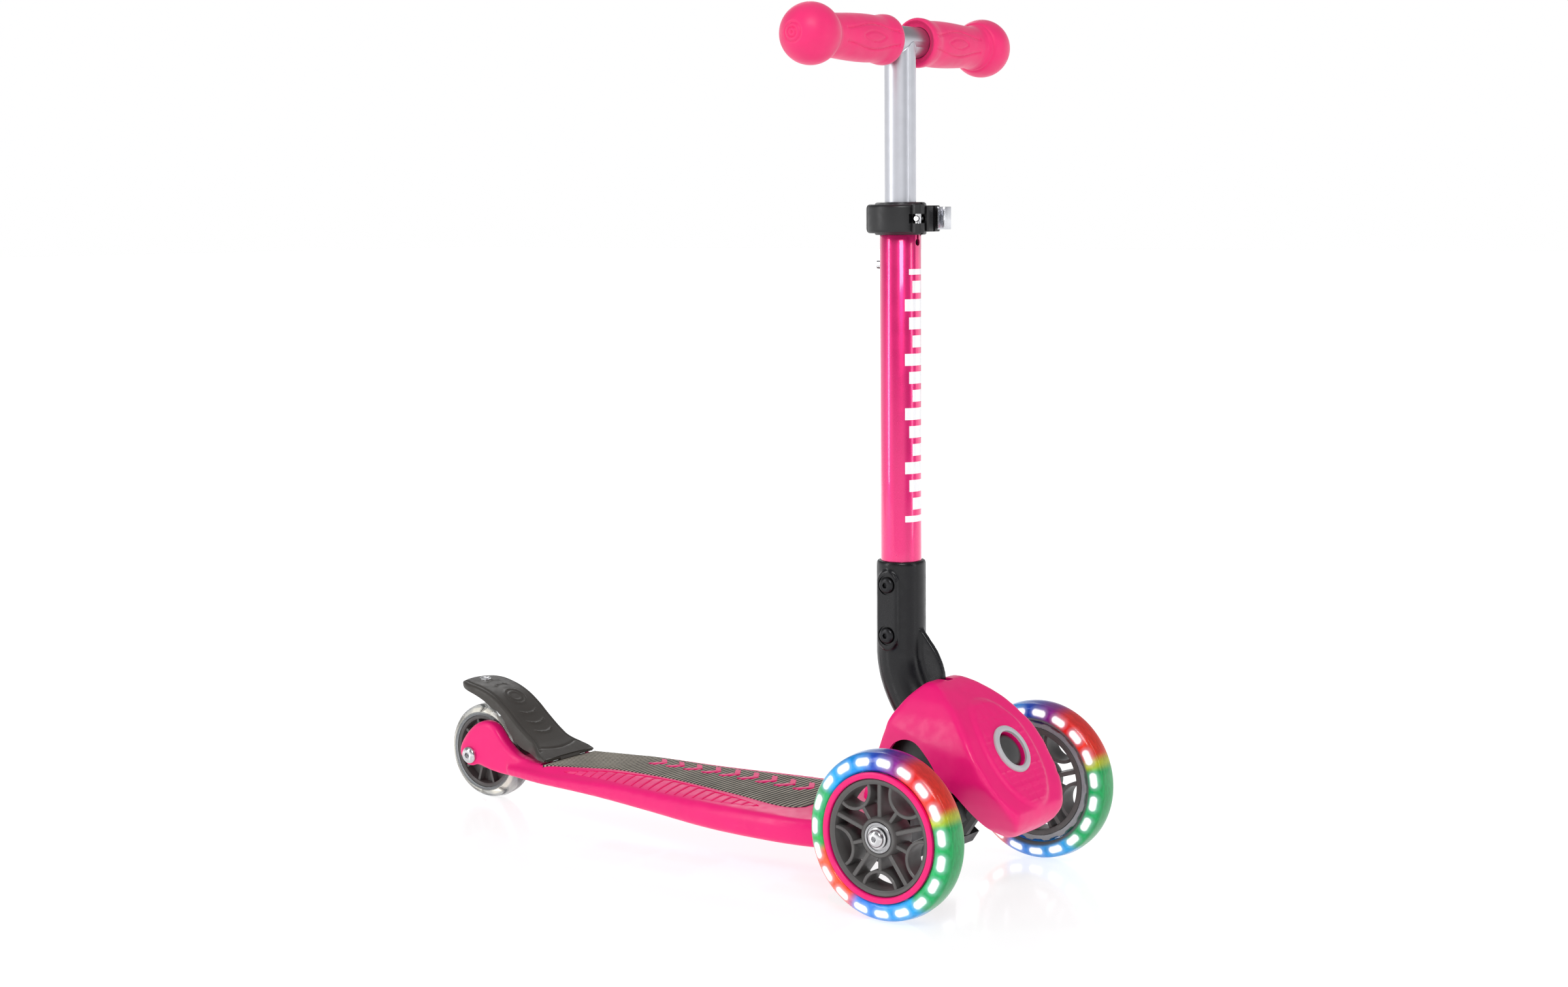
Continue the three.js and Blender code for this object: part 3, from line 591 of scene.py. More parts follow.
finishes = {
    "pink": moulded("pink_plastic", PINK, 0.33, grain_mm=0.4, grain=0.08, vary=0.025,
                    Specular_IOR_Level=0.38),
    "rib_pink": moulded("pink_ribs", (0.92, 0.05, 0.23), 0.4, grain_mm=0.4, grain=0.1, vary=0.03,
                        Specular_IOR_Level=0.4),
    "grip": moulded("pink_rubber", GRIP_PINK, 0.5, grain_mm=0.6, grain=0.3, vary=0.04,
                    Sheen_Weight=0.25, Sheen_Roughness=0.4),
    "black": moulded("black_plastic", BLACK, 0.4, grain_mm=0.5, grain=0.2, vary=0.15),
    "bracket": moulded("black_lacquer", (0.004, 0.004, 0.0055), 0.28, grain_mm=0.6, grain=0.06,
                       vary=0.15, Specular_IOR_Level=0.35),
    "brake": moulded("brake_plastic", WARM_GREY, 0.42, grain_mm=0.5, grain=0.25, vary=0.08),
    "rim": moulded("rim_plastic", RIM_GREY, 0.4, grain_mm=0.5, grain=0.25, vary=0.08),
    "button": moulded("button_plastic", (0.05, 0.05, 0.05), 0.38, grain_mm=0.5, grain=0.2, vary=0.1),
    "bezel": moulded("bezel_plastic", (0.50, 0.50, 0.52), 0.4, grain_mm=0.5, grain=0.15, vary=0.04),
    "core": moulded("core_plastic", (0.30, 0.32, 0.34), 0.3, grain_mm=2.0, grain=0.2, vary=0.1,
                    Coat_Weight=0.6, Coat_Roughness=0.1),
    "bumper": moulded("bumper_rubber", (0.03, 0.03, 0.03), 0.7, grain_mm=0.4, grain=0.35, vary=0.15),
    "silver": metal("silver_tube", SILVER, 0.36, stretch=(1, 1, 0.04)),
    "bracket_metal": metal("bent_metal", (0.66, 0.67, 0.70), 0.26, stretch=(1, 0.2, 1)),
    "steel": metal("bright_steel", (0.62, 0.62, 0.63), 0.16),
    "bearing": metal("bearing_steel", (0.34, 0.34, 0.35), 0.3),
    "dark_steel": metal("black_steel", (0.035, 0.035, 0.037), 0.34),
    "pad": ridged_pad(),
    "clear": clear_rubber(),
}


# ---- bolts ----
def button_head(radius, height, hexagon, seat=0.0):
    """A domed screw head with a hexagonal socket, standing on height seat along local Z."""
    profile = [(radius, seat), (radius, seat + 0.25 * height)]
    for k in range(1, 7):
        angle = math.radians(82) * k / 6
        r = radius * (0.42 + 0.58 * math.cos(angle))
        profile.append((r, seat + height * (0.25 + 0.75 * math.sin(angle))))
    mouth = len(profile)
    floor = seat + 0.35 * height
    profile += [(hexagon, seat + height * 0.985), (hexagon * 0.94, floor), (0, floor - 0.3)]
    profile = [(0, seat), *profile]

    def hexed(row, angle, radius_here):
        if row < mouth + 1:
            return radius_here
        corner = (angle % (TURN / 6)) - TURN / 12
        return radius_here * math.cos(TURN / 12) / math.cos(corner)

    return revolve(profile, 48, radius_at=hexed)


# ---- wheels, drawn about their own centre with the outer side towards +Y ----
FACE = 11.0  # the rim's outer face


def ball_bearing(start, width=6.9, outer=10.9, bore=4.3):
    """Races and shield of a sealed ball bearing, along local Z."""
    end = start + width
    half = [(bore, end), (bore + 1.9, end), (bore + 2.1, end - 0.5), (outer - 2.0, end - 0.5),
            (outer - 1.8, end), (outer - 0.3, end), (outer, end - 0.3)]
    other = [(r, start + end - h) for r, h in reversed(half)]
    return revolve([*half, *other], ROUND, loop=True)


def front_rim():
    shape = Shape()
    ring = [(41.2, -9.6), (41.2, 10.2), (40.6, 10.9), (39.3, FACE), (38.6, 10.6), (37.9, 10.0),
            (37.2, 9.6), (36.9, 8.4), (36.9, -8.0), (37.4, -9.8), (38.6, -10.0), (40.9, -10.0)]
    shape.add(revolve(ring, FINE_ROUND, loop=True), ALONG_Y)
    hub = [(7.0, -4.0), (7.0, 4.0), (11.2, 4.0), (11.2, 10.6), (11.7, FACE), (13.4, FACE),
           (14.2, 10.2), (14.6, 8.0), (15.2, -8.0), (14.2, -10.2), (13.4, -FACE), (11.7, -FACE),
           (11.2, -10.6), (11.2, -4.0)]
    shape.add(revolve(hub, ROUND, loop=True), ALONG_Y)
    for i in range(5):
        spoke = strip([(0, 13.4), (0, 22), (0, 30), (0, 38)], 1.6, -8.6, 9.2, 0.5)
        petal = strip(arc((0, 38.2), 13.9, -172, -8, 28), 1.25, -7.0, 9.0, 0.45)
        rib = strip([(0, 13.4), (0, 19), (0, 25.4)], 1.35, -6.0, 8.8, 0.45)
        turn = Matrix.Rotation(TURN * i / 5, 4, "Y")
        between = Matrix.Rotation(TURN * (i + 0.5) / 5, 4, "Y")
        flip = Matrix.Rotation(math.pi, 4, "Y")
        shape.add(spoke, turn @ flip @ ALONG_Y)
        shape.add(petal, between @ flip @ ALONG_Y)
        shape.add(rib, between @ flip @ ALONG_Y)
    return shape


def tyre_profile(outer, inner, half, crown):
    """One closed tyre section: flat walls, round shoulders and a slightly crowned tread."""
    wall = [(inner, half - 2.5), (inner + 0.8, half - 0.9), (inner + 2.2, half - 0.1),
            (outer - 9.5, half)]
    shoulder = [(outer - 9.5 + 8.8 * math.sin(a), half - (half - crown) * (1 - math.cos(a)))
                for a in (TURN / 4 * k / 9 for k in range(1, 10))]
    upper = [*wall, *shoulder, (outer, 0.0)]
    return [*upper, *[(r, -h) for r, h in reversed(upper[:-1])]]


def light_core():
    """The ring that holds the lamps, with a pocket for each."""
    profile = [(41.5, -9.3), (41.5, 9.3), (43, 9.5), (45.4, 9.3), (46, 8.4), (46, -8.4),
               (45.4, -9.3), (43, -9.5)]

    def pockets(row, angle, radius):
        dip = ease(0.55, 0.8, abs(math.sin(angle * SPOTS / 2)))
        return radius - (1.2 * dip if row in (3, 4, 5, 6) else 0)

    return revolve(profile, SPOTS * 12, loop=True, radius_at=pockets)


def front_wheel(side, label):
    body, rim = f"wheel_{label}", f"rim_{label}"
    centre = middle(rim)
    facing = Matrix.Identity(4) if side > 0 else HALF_TURN
    out = facing @ ALONG_Y
    tyre = Shape().add(revolve(tyre_profile(60, 46.3, 12, 5.5), FINE_ROUND, loop=True), out)
    finish(f"lit_tyre_{label}", tyre, body, lit_tyre(f"lit_rubber_{label}", side),
           [f"tyre_{label}"], centre)
    core = Shape().add(light_core(), out)
    finish(f"lamp_ring_{label}", core, body, finishes["core"],
           [f"light_ring_{label}"], centre)
    trim = [(41.5, 9.8), (41.5, 11.9), (42.0, 12.5), (43.4, 12.6), (45.0, 12.5), (45.7, 12.1),
            (45.8, 11.2), (45.8, 9.8)]
    finish(f"pink_ring_{label}", Shape().add(revolve(trim, FINE_ROUND, loop=True), out), body,
           finishes["pink"], [f"trim_ring_{label}"], centre)
    rim_shape = Shape()
    spokes = front_rim()
    rim_shape.add((spokes.points, spokes.faces), facing)
    finish(f"spoked_rim_{label}", rim_shape, body, finishes["rim"], [rim], centre)
    for place, start in (("outer", 4.3), ("inner", -11.2)):
        node = f"bearing_{place}_{label}"
        finish(f"ball_{node}", Shape().add(ball_bearing(start), out), body,
               finishes["bearing"], [node], centre)
    bolt = Shape().add(button_head(6.3, 3.6, 2.3, FACE + 1.2), out)
    washer = [(0, FACE + 0.5), (7.2, FACE + 0.5), (7.4, FACE + 0.7), (7.4, FACE + 1.1),
              (7.1, FACE + 1.3), (0, FACE + 1.3)]
    bolt.add(revolve(washer, 48), out)
    bolt.add(revolve([(0, -50), (3.6, -50), (4, -49.4), (4, FACE + 0.6), (0, FACE + 0.6)], 32), out)
    finish(f"hex_bolt_{label}", bolt, "truck", finishes["steel"],
           [f"axle_bolt_{label}"], centre)


def rear_wheel():
    centre = middle("rim_rear")
    body = "wheel_rear"
    tyre = Shape().add(revolve(tyre_profile(40, 31.3, 11.5, 4.5), FINE_ROUND, loop=True), ALONG_Y)
    finish("clear_tyre_rear", tyre, body, finishes["clear"], ["tyre_rear"], centre)
    rim = Shape()
    band = [(30.9, -10.3), (30.9, 10.3), (28.6, 10.6), (27.4, 9.8), (26.8, 3), (14, 3), (14, -3),
            (26.8, -3), (27.4, -9.8), (28.6, -10.6)]
    rim.add(revolve(band, FINE_ROUND, loop=True), ALONG_Y)
    hub = [(7.0, -4.0), (7.0, 4.0), (11.2, 4.0), (11.2, 10.6), (11.7, FACE), (13.6, FACE),
           (14.4, 10.2), (14.8, 3), (14.8, -3), (14.4, -10.2), (13.6, -FACE), (11.7, -FACE),
           (11.2, -10.6), (11.2, -4.0)]
    rim.add(revolve(hub, ROUND, loop=True), ALONG_Y)
    for i in range(10):
        rib = strip([(14.2, 0), (20, 0), (27.6, 0)], 1.1, -8.8, 8.8, 0.4)
        rim.add(rib, Matrix.Rotation(TURN * i / 10, 4, "Y") @ ALONG_Y)
    finish("ribbed_rim_rear", rim, body, finishes["rim"], ["rim_rear"], centre)
    for label, start in (("left", 4.3), ("right", -11.2)):
        node = f"bearing_rear_{label}"
        finish(f"ball_{node}", Shape().add(ball_bearing(start), ALONG_Y), body,
               finishes["bearing"], [node], centre)
    bolt = Shape().add(button_head(7, 4.0, 2.6, 27.3), HALF_TURN @ ALONG_Y)
    shank = revolve([(0, -33.2), (3.6, -33.2), (4, -32.6), (4, 27.4), (0, 27.4)], 32)
    bolt.add(shank, HALF_TURN @ ALONG_Y)
    finish("hex_bolt_rear", bolt, "deck", finishes["steel"], ["rear_axle_bolt"],
           centre)


# ---- front cover, release button and its ring ----
COVER_SIDE = [(-75, 50.5), (-69, 64), (-59, 86), (-52, 103), (-46, 117), (-40, 130), (-33, 141),
              (-24, 151), (-15, 151.3), (-5, 147), (11, 136.4), (26.6, 120), (47.5, 89),
              (56.5, 76), (62.5, 67.5), (61.8, 60.5), (58, 53.5), (51, 47.5), (38, 43.5)]
COVER_PLAN = [(-94, 34), (-76, 35), (-55, 38), (-35, 42), (-10, 45.5), (20, 47), (38, 47),
              (50, 45.5), (57, 40), (62, 31), (65, 19), (66.5, 6)]
COVER_FRONT = [(6, 43.5), (12, 44.5), (19, 48), (27, 54), (33.5, 63), (39.5, 73), (44.5, 84),
               (47.5, 92), (48, 102), (45, 116), (38.5, 129), (30, 141.5), (20, 150), (12, 153)]
COVER_ARCH = [(-47, 20), (-47, 60), (-45, 88), (-39, 105), (-28, 112.5), (-15, 112), (-3, 101.5),
              (7, 88), (17, 77.5), (24, 67), (30, 58.5), (36.5, 51.5), (43, 46), (50, 38), (53, 20)]
BUTTON_SEAT = Vector((37, 0, 106))  # centre of the button's face on the cover


def on_button_axis(matrix=None):
    turn = Vector((0, 0, 1)).rotation_difference(BUTTON_NORMAL).to_matrix().to_4x4()
    placed = Matrix.Translation(BUTTON_SEAT) @ turn
    return placed @ matrix if matrix else placed


def hood(wall):
    """The cover's outer skin, or its inner one if wall is its thickness, as a soft solid."""
    plan = [*COVER_PLAN, *[(x, -y) for x, y in reversed(COVER_PLAN)]]
    front = [*COVER_FRONT, *[(-y, z) for y, z in reversed(COVER_FRONT)]]
    body = solid(plate(inset(COVER_SIDE, wall), -60, 60), SIDE)
    body = combine(body, "INTERSECT", solid(plate(inset(plan, wall), 0, 200)),
                   solid(plate(inset(front, wall), -120, 120), FRONT))
    return melt(body, 1.3, 34)


def raise_face(body):
    """Lifts a soft egg-shaped field round the button."""
    across = Vector((0, 1, 0))
    upwards = BUTTON_NORMAL.cross(across)
    if upwards.z < 0:
        upwards = -upwards
    for vertex in body.data.vertices:
        if vertex.normal.dot(BUTTON_NORMAL) < 0.35:
            continue
        offset = vertex.co - BUTTON_SEAT
        up = offset.dot(upwards)
        side = offset.dot(across)
        length = 47 if up > 0 else 44
        reach = math.hypot(side / 31, (up + 2) / length)
        vertex.co += vertex.normal * 1.7 * (1 - ease(0.87, 1.02, reach))
    return body


def cover():
    shell = raise_face(hood(0))
    arch_line = smooth_line(COVER_ARCH, 5)
    slot = [(-120, 40), (-60, 40), (-20, 124), (-22, 142), (-30, 150), (-30, 175), (-120, 175)]
    fin_slot = [(-45, 120), (-14, 120), (-14, 170), (-45, 170)]
    cut(shell, hood(2.8), solid(plate(arch_line, -60, 60), SIDE),
        solid(plate(slot, -20, 20, 2.0), SIDE), solid(plate(fin_slot, -4, 4, 1.0), SIDE),
        solid(plate([(-88.5, 30), (-40, 30), (-40, 62), (-88.5, 62)], -31.9, 31.9), SIDE))
    collar = solid(revolve([(15.3, -7), (15.3, -1.2), (13.4, -1.2), (13.4, -7)], ROUND, loop=True),
                   on_button_axis())
    join(shell, collar)
    cut(shell, solid(rod(13.4, -30, 20, ROUND), on_button_axis()))
    soft_edges(shell, 0.7, 2, 50)
    finish("front_hood", shell, "deck", finishes["pink"], ["cover"], angle=50)
    # Black sheets inside the cover behind the arch: painted shade for the shaded inside of the cover
    # seen through the arch.
    shade_sheets = Shape()
    wall = [(-44, 76), (-44, 104), (-34, 117), (-20, 121), (-4, 112), (4, 92), (4, 76)]
    for side in (-1, 1):
        shade_sheets.add(plate(wall, *sorted((side * 29, side * 31)), 0.6), SIDE)
    finish("hood_shade_sheets", shade_sheets, "deck", finishes["black"])
    # The black tray inside the cover shows as a thin line along its lower edge.
    tray = hood(2.9)
    tray_arch = [(x - 1.6, z - 1.8) for x, z in COVER_ARCH]
    cut(tray, hood(5.2), solid(plate(smooth_line(tray_arch, 5), -60, 60), SIDE),
        solid(plate([(-130, 20), (17, 20), (17, 82), (70, 82), (70, 180), (-130, 180)], -60, 60), SIDE))
    finish("hood_tray", tray, "deck", finishes["black"])
    bezel = [(13.7, 0.5), (13.7, 2.5), (14.3, 3.0), (15.4, 3.1), (16.9, 2.9), (17.8, 2.3),
             (18.1, 1.4), (18.1, 0.5)]
    finish("button_ring", Shape().add(revolve(bezel, ROUND, loop=True), on_button_axis()), "deck",
           finishes["bezel"], ["bezel"])
    dome = [(0, 1.2), (3, 1.12), (6, 0.82), (8.6, 0.3), (10.6, -0.5), (12, -1.6), (12.8, -3.0),
            (12.8, -7.4), (15, -7.4), (15, -9), (4, -9), (4, -20.4), (0, -20.4)]
    finish("dome_button", Shape().add(revolve(dome, ROUND), on_button_axis()), "fold_button",
           finishes["button"], ["fold_button"])
    coil = [(6.4 * math.cos(a), 6.4 * math.sin(a), -9.8 - 7.9 * a / (5 * TURN))
            for a in (TURN * k / 20 for k in range(101))]
    spring = finish("button_coil", Shape().add(tube_along(coil, 0.5, 8), on_button_axis()),
                    "deck", finishes["steel"], ["button_spring"])
    compress(spring)


# ---- deck with rear fork ----
DECK_HALF = [(-63, 40), (-80, 51), (-110, 60), (-150, 62.5), (-200, 60), (-260, 53), (-320, 47),
             (-380, 40), (-430, 31)]
DECK_TOP = [(-63, 47.5), (-110, 48), (-190, 49.3), (-300, 49.3), (-340, 47.2), (-382, 44),
            (-430, 42.5)]
DECK_UNDER = [(-63, 24), (-140, 24), (-200, 24.3), (-260, 26.4), (-310, 28.2), (-350, 28.6),
              (-390, 28), (-430, 28)]
SHOULDER_DROP = [(-63, 2.2), (-120, 2.6), (-180, 4), (-260, 5.8), (-340, 6.2), (-400, 5), (-430, 5)]
PAD_HALF = [(-121, 33), (-128, 40.5), (-145, 42.5), (-180, 36.5), (-205, 33), (-232, 29),
            (-262, 26), (-310, 26), (-350, 28.6), (-387.6, 31.5)]
PAD_TOP = [(-100, 48.6), (-190, 50), (-300, 50), (-340, 47.8), (-385, 44.4), (-420, 42)]
deck_half = value_along(DECK_HALF)
deck_top = value_along(DECK_TOP)
deck_under = value_along(DECK_UNDER)
shoulder_drop = value_along(SHOULDER_DROP)
pad_half = value_along(PAD_HALF)
pad_top = value_along(PAD_TOP)


def shoulder_line(x):
    """Where the deck's top starts to slope down beside the pad, and its outer crease."""
    half = deck_half(x)
    return min(pad_half(x) + 1, half - 9), half - 4.6


def shoulder_height(x, y):
    """Height of the deck's top skin beside the pad."""
    shoulder, crease = shoulder_line(x)
    share = min(max((abs(y) - shoulder) / (crease - shoulder), 0), 1)
    return deck_top(x) - 0.1 - shoulder_drop(x) * share ** 1.3


def deck_section(x):
    """The deck's outline across, seen along its length, from the middle of the top round."""
    half, top, under = deck_half(x), deck_top(x), deck_under(x)
    shoulder, crease = shoulder_line(x)
    right = [(0, top), (shoulder * 0.5, top), (shoulder, top - 0.1)]
    for k in range(1, 7):
        y = shoulder + (crease - shoulder) * k / 6
        right.append((y, shoulder_height(x, y)))
    edge = right[-1][1]
    wall = edge - under
    right += [(half - 3.0, edge - 0.06 * wall), (half - 1.6, edge - 0.15 * wall),
              (half - 0.6, edge - 0.28 * wall), (half - 0.1, edge - 0.43 * wall),
              (half, edge - 0.58 * wall), (half - 0.8, under + 0.22 * wall),
              (half - 2.6, under + 0.1 * wall), (half - 5.6, under + 0.03 * wall),
              (half - 9.5, under)]
    right += [(half * 0.6, under), (half * 0.3, under), (0, under)]
    left = [(-y, z) for y, z in reversed(right[1:-1])]
    return [(x, y, z) for y, z in [*right, *left]]


def fork_arm(side):
    outline = smooth_line([(-398, 26.5), (-425, 27.0), (-449, 28.6), (-467, 32.2), (-482, 34.5),
                           (-487.2, 39), (-486.4, 47), (-480.5, 56), (-473, 63.5), (-466, 68),
                           (-459, 70), (-451.5, 69), (-445, 65), (-438.5, 57.5), (-430, 50),
                           (-419, 44.8), (-398, 42.6)], 4)
    arm = plate(outline, 14.5, 27, 3.6, 5)
    boss = rod(7, 11.5, 18, 32)
    seat = revolve([(0, 24), (9.6, 24), (9.6, 26.6), (8.9, 27.3), (0, 27.3)], 48)
    facing = Matrix.Identity(4) if side > 0 else Matrix.Scale(-1, 4, (0, 1, 0))
    made = solid(arm, facing @ SIDE)
    axle = facing @ shift(REAR_AXLE.x, 0, 40) @ ALONG_Y
    return join(made, solid(boss, axle), solid(seat, axle))


def pad_outline(margin=0.0):
    line = smooth_line(PAD_HALF, 5)
    half = [(-121 - margin, 0)] + [(p.x, p.y) for p in line]
    outline = [(x, y) for x, y in half[1:]]
    outline += [(x, -y) for x, y in reversed(half[1:])]
    return inset(outline, margin) if margin else [Vector(p) for p in outline]


def over_pad(outline, depth, top=30.0):
    """A block over the pad's plan, from depth below its surface upwards."""
    stations = [-90 - 8 * i for i in range(40)]
    rings = [[(x, -70, pad_top(x) - depth), (x, 70, pad_top(x) - depth), (x, 70, pad_top(x) + top),
              (x, -70, pad_top(x) + top)] for x in stations]
    return combine(solid(loft(rings)), "INTERSECT", solid(plate(outline, 0, 120)))


STUD_X = -481  # the metal stud in the brake's rear end
BRAKE_SPRING_X = -410
AT_BRAKE_PIN = shift(BRAKE_PIN.x, 0, BRAKE_PIN.z) @ ALONG_Y


def deck():
    stations = [-63.4, -64.2, -66] + [-66 - 364 * i / 72 for i in range(1, 73)]
    rings = []
    for i, x in enumerate(stations):
        ring = deck_section(x)
        pull = (0.965, 0.985, 1.0)[i] if i < 3 else 1.0
        centre_z = (deck_top(x) + deck_under(x)) / 2
        rings.append([(px, py * pull, centre_z + (pz - centre_z) * pull) for px, py, pz in ring])
    body = solid(loft(rings))
    join(body, fork_arm(1), fork_arm(-1))
    melt(body, 1.5, 5)
    pockets = []
    for side in (-1, 1):
        for i, (x0, x1) in enumerate(((-172, -112), (-304, -244), (-370, -310))):
            y0, y1 = (3, 30) if side > 0 else (-30, -3)
            pocket = [(x0, y0), (x1, y0), (x1, y1), (x0, y1)]
            pockets.append(solid(plate(pocket, 10, 41)))
        pockets.append(solid(rod(2.8, 10, 38, 24), shift(-84, side * 18, 0)))
    axle = shift(REAR_AXLE.x, 0, 40) @ ALONG_Y
    wheel_gap = [(-520, 0), (-428, 0), (-428, 100), (-520, 100)]
    cut(body, over_pad(pad_outline(-0.3), 2.5), leaf_tool(1), leaf_tool(-1), *pockets,
        solid(plate(wheel_gap, -14.5, 14.5), SIDE))
    bosses = [solid(rod(7, 11.5, 17, 32), turn @ axle)
              for turn in (Matrix.Identity(4), Matrix.Scale(-1, 4, (0, 1, 0)))]
    join(body, *bosses)
    cut(body, solid(plate([(-396, 39), (-383, 39), (-383, 60), (-396, 60)], -12, 12), SIDE),
        solid(rod(5, 40, 50, 32), shift(BRAKE_SPRING_X, 0, 0)),
        solid(plate([(-388.4, 42.6), (-386, 42.6), (-386, 60), (-388.4, 60)], -33, 33), SIDE),
        solid(rod(2.8, -30, 30, 32), AT_BRAKE_PIN),
        solid(rod(4.3, -40, 40, 32), axle))
    finish("pink_deck", body, "deck", finishes["pink"], ["deck"], angle=40)


LEAF_FRONT, LEAF_BACK, LEAF_DEPTH = -152.0, -362.0, 1.0


TILE = [(-3.9, -0.6), (3.9, -0.6), (3.9, 0.5), (3.3, 1.0), (-3.3, 1.0), (-3.9, 0.5)]


def leaf(x):
    """Inner and outer edge of the long sunken leaf beside the pad."""
    share = min(max((x - LEAF_BACK) / (LEAF_FRONT - LEAF_BACK), 0), 1)
    swell = math.sin(math.pi * share) ** 0.45
    inner, outer = pad_half(x) + 2.6, deck_half(x) - 5.6
    centre = inner + (outer - inner) * (0.5 - 0.2 * (share - 0.5))
    return centre + (inner - centre) * swell, centre + (outer - centre) * swell


def leaf_tool(side):
    rings = []
    for i in range(61):
        x = LEAF_FRONT - 0.3 + (LEAF_BACK - LEAF_FRONT + 0.6) * i / 60
        inner, outer = leaf(x)
        outer = max(outer, inner + 0.4)
        spans = (inner, (inner + outer) / 2, outer)
        low = [(x, side * y, shoulder_height(x, y) - LEAF_DEPTH) for y in spans]
        rings.append([*low, (x, side * outer, 60), (x, side * inner, 60)])
    return solid(loft(rings))


def shoulder_ribs():
    """Tiles with grooves between them in a long leaf beside the pad, on both sides."""
    shape = Shape()
    count, first, last = 21, LEAF_FRONT - 9, LEAF_BACK + 9
    for side in (-1, 1):
        for i in range(count):
            share = i / (count - 1)
            x = first + (last - first) * share
            inner, outer = leaf(x)
            centre = (inner + outer) / 2
            reach = (outer - inner) / 2 - 0.4
            rings = []
            for k in range(9):
                t = -1 + k / 4
                px = x - 1.5 * t
                py = centre + reach * t
                section = []
                for along, lift in TILE:
                    base = shoulder_height(px + along, py) - LEAF_DEPTH
                    height = lift if abs(t) < 0.99 else min(lift, 0.3)
                    section.append((px + along, side * py, base + height))
                rings.append(section)
            shape.add(loft(rings))
    finish("shoulder_ribs", shape, "deck", finishes["rib_pink"])


def grip_pad():
    base = over_pad(pad_outline(), 2.2, top=-0.45)
    rings = []
    for i in range(560):
        x = -114 - 0.4925 * i
        z = pad_top(x)
        crest = z - 0.3 + 0.3 * math.sin(TURN * x / RIDGE_PITCH)
        rings.append([(x, -46, z - 1.2), (x, -46, crest), (x, 46, crest), (x, 46, z - 1.2)])
    ridges = solid(loft(rings))
    combine(ridges, "INTERSECT", solid(plate(pad_outline(2.6), 0, 120)))
    join(base, ridges)
    finish("ridged_pad", base, "deck", finishes["pad"], ["grip_pad"], angle=60)
    marks = Shape()
    for i in range(9):
        x = -150 - 18 * i
        reach = min(pad_half(x) - 7, 24)
        centre = reach / 2 + 1
        for side in (-1, 1):
            path = [(x - 7, centre + side * (reach - centre)), (x, centre + side * 0.3)]
            rings = []
            for px, py in path:
                z = pad_top(px)
                rings.append([(px - 2.9, py, z - 0.7), (px + 2.9, py, z - 0.7),
                              (px + 2.5, py, z + 0.6), (px - 2.5, py, z + 0.6)])
            marks.add(loft(rings))
    finish("pad_chevrons", marks, "deck", finishes["pink"])


# ---- rear brake ----
BRAKE_CREST = [(-499, 96.6), (-495, 98.8), (-488, 100), (-474, 98.6), (-460, 95), (-448, 89.5),
               (-437, 82), (-427, 73.6), (-416, 65), (-405, 57.8), (-397, 53.4), (-391, 50.4),
               (-386.5, 48.2)]
SKIRT = [(-500, 1.3), (-488, 5), (-470, 7.2), (-455, 8.6), (-446, 9.5), (-437, 11.5), (-429, 15),
         (-418, 15.5), (-408, 12.5), (-399, 9), (-392, 5.6), (-386, 3.7)]
ARM_TOP = [(-487, 40), (-480.5, 56), (-473, 63.5), (-466, 68), (-459, 70), (-451.5, 69),
           (-445, 65), (-438.5, 57.5), (-430, 50), (-419, 45.2), (-398, 44.2), (-380, 44.4)]
skirt_line = value_along(SKIRT)
arm_height = value_along(ARM_TOP)
BRAKE_TRAVEL = math.radians(8)


def skirt_depth(point, up, drop):
    """Depth of the brake's side wall, kept clear of the fork when the brake is pressed."""
    depth = skirt_line(point.x)
    pivot = Vector((BRAKE_PIN.x, BRAKE_PIN.z))
    pressed = Matrix.Rotation(BRAKE_TRAVEL, 2)
    while depth > 2:
        low = pivot + pressed @ (point + up * (drop - depth) - pivot)
        if low.y > arm_height(low.x) + 0.9:
            break
        depth -= 0.25
    return depth


def brake_emboss(along, y, half):
    """Height of the brake's raised and sunken lines, by the distance from its tip."""
    edge = half - 4.2
    line = 0.0
    if 9 < along < 118:
        line -= 0.8 * bump(abs(y) - edge, 0.9)
    if abs(y) < edge:
        line -= 0.8 * bump(along - 118 + 0.012 * y * y, 0.9)
    if abs(y) < 8:
        for centre in (26, 35):
            line += 0.8 * bump(along - centre - 0.05 * y * y, 0.8) * (1 - ease(6, 8, abs(y)))
    from_ring = math.hypot(along - 55, y)
    line += 0.8 * bump(from_ring - 9.2, 0.8) + 0.7 * bump(from_ring - 5.6, 0.8)
    if abs(y) < 11:
        for centre in (76, 87, 98):
            line += 0.9 * bump(along - centre + 0.035 * y * y, 0.8) * (1 - ease(9, 11, abs(y)))
    return line


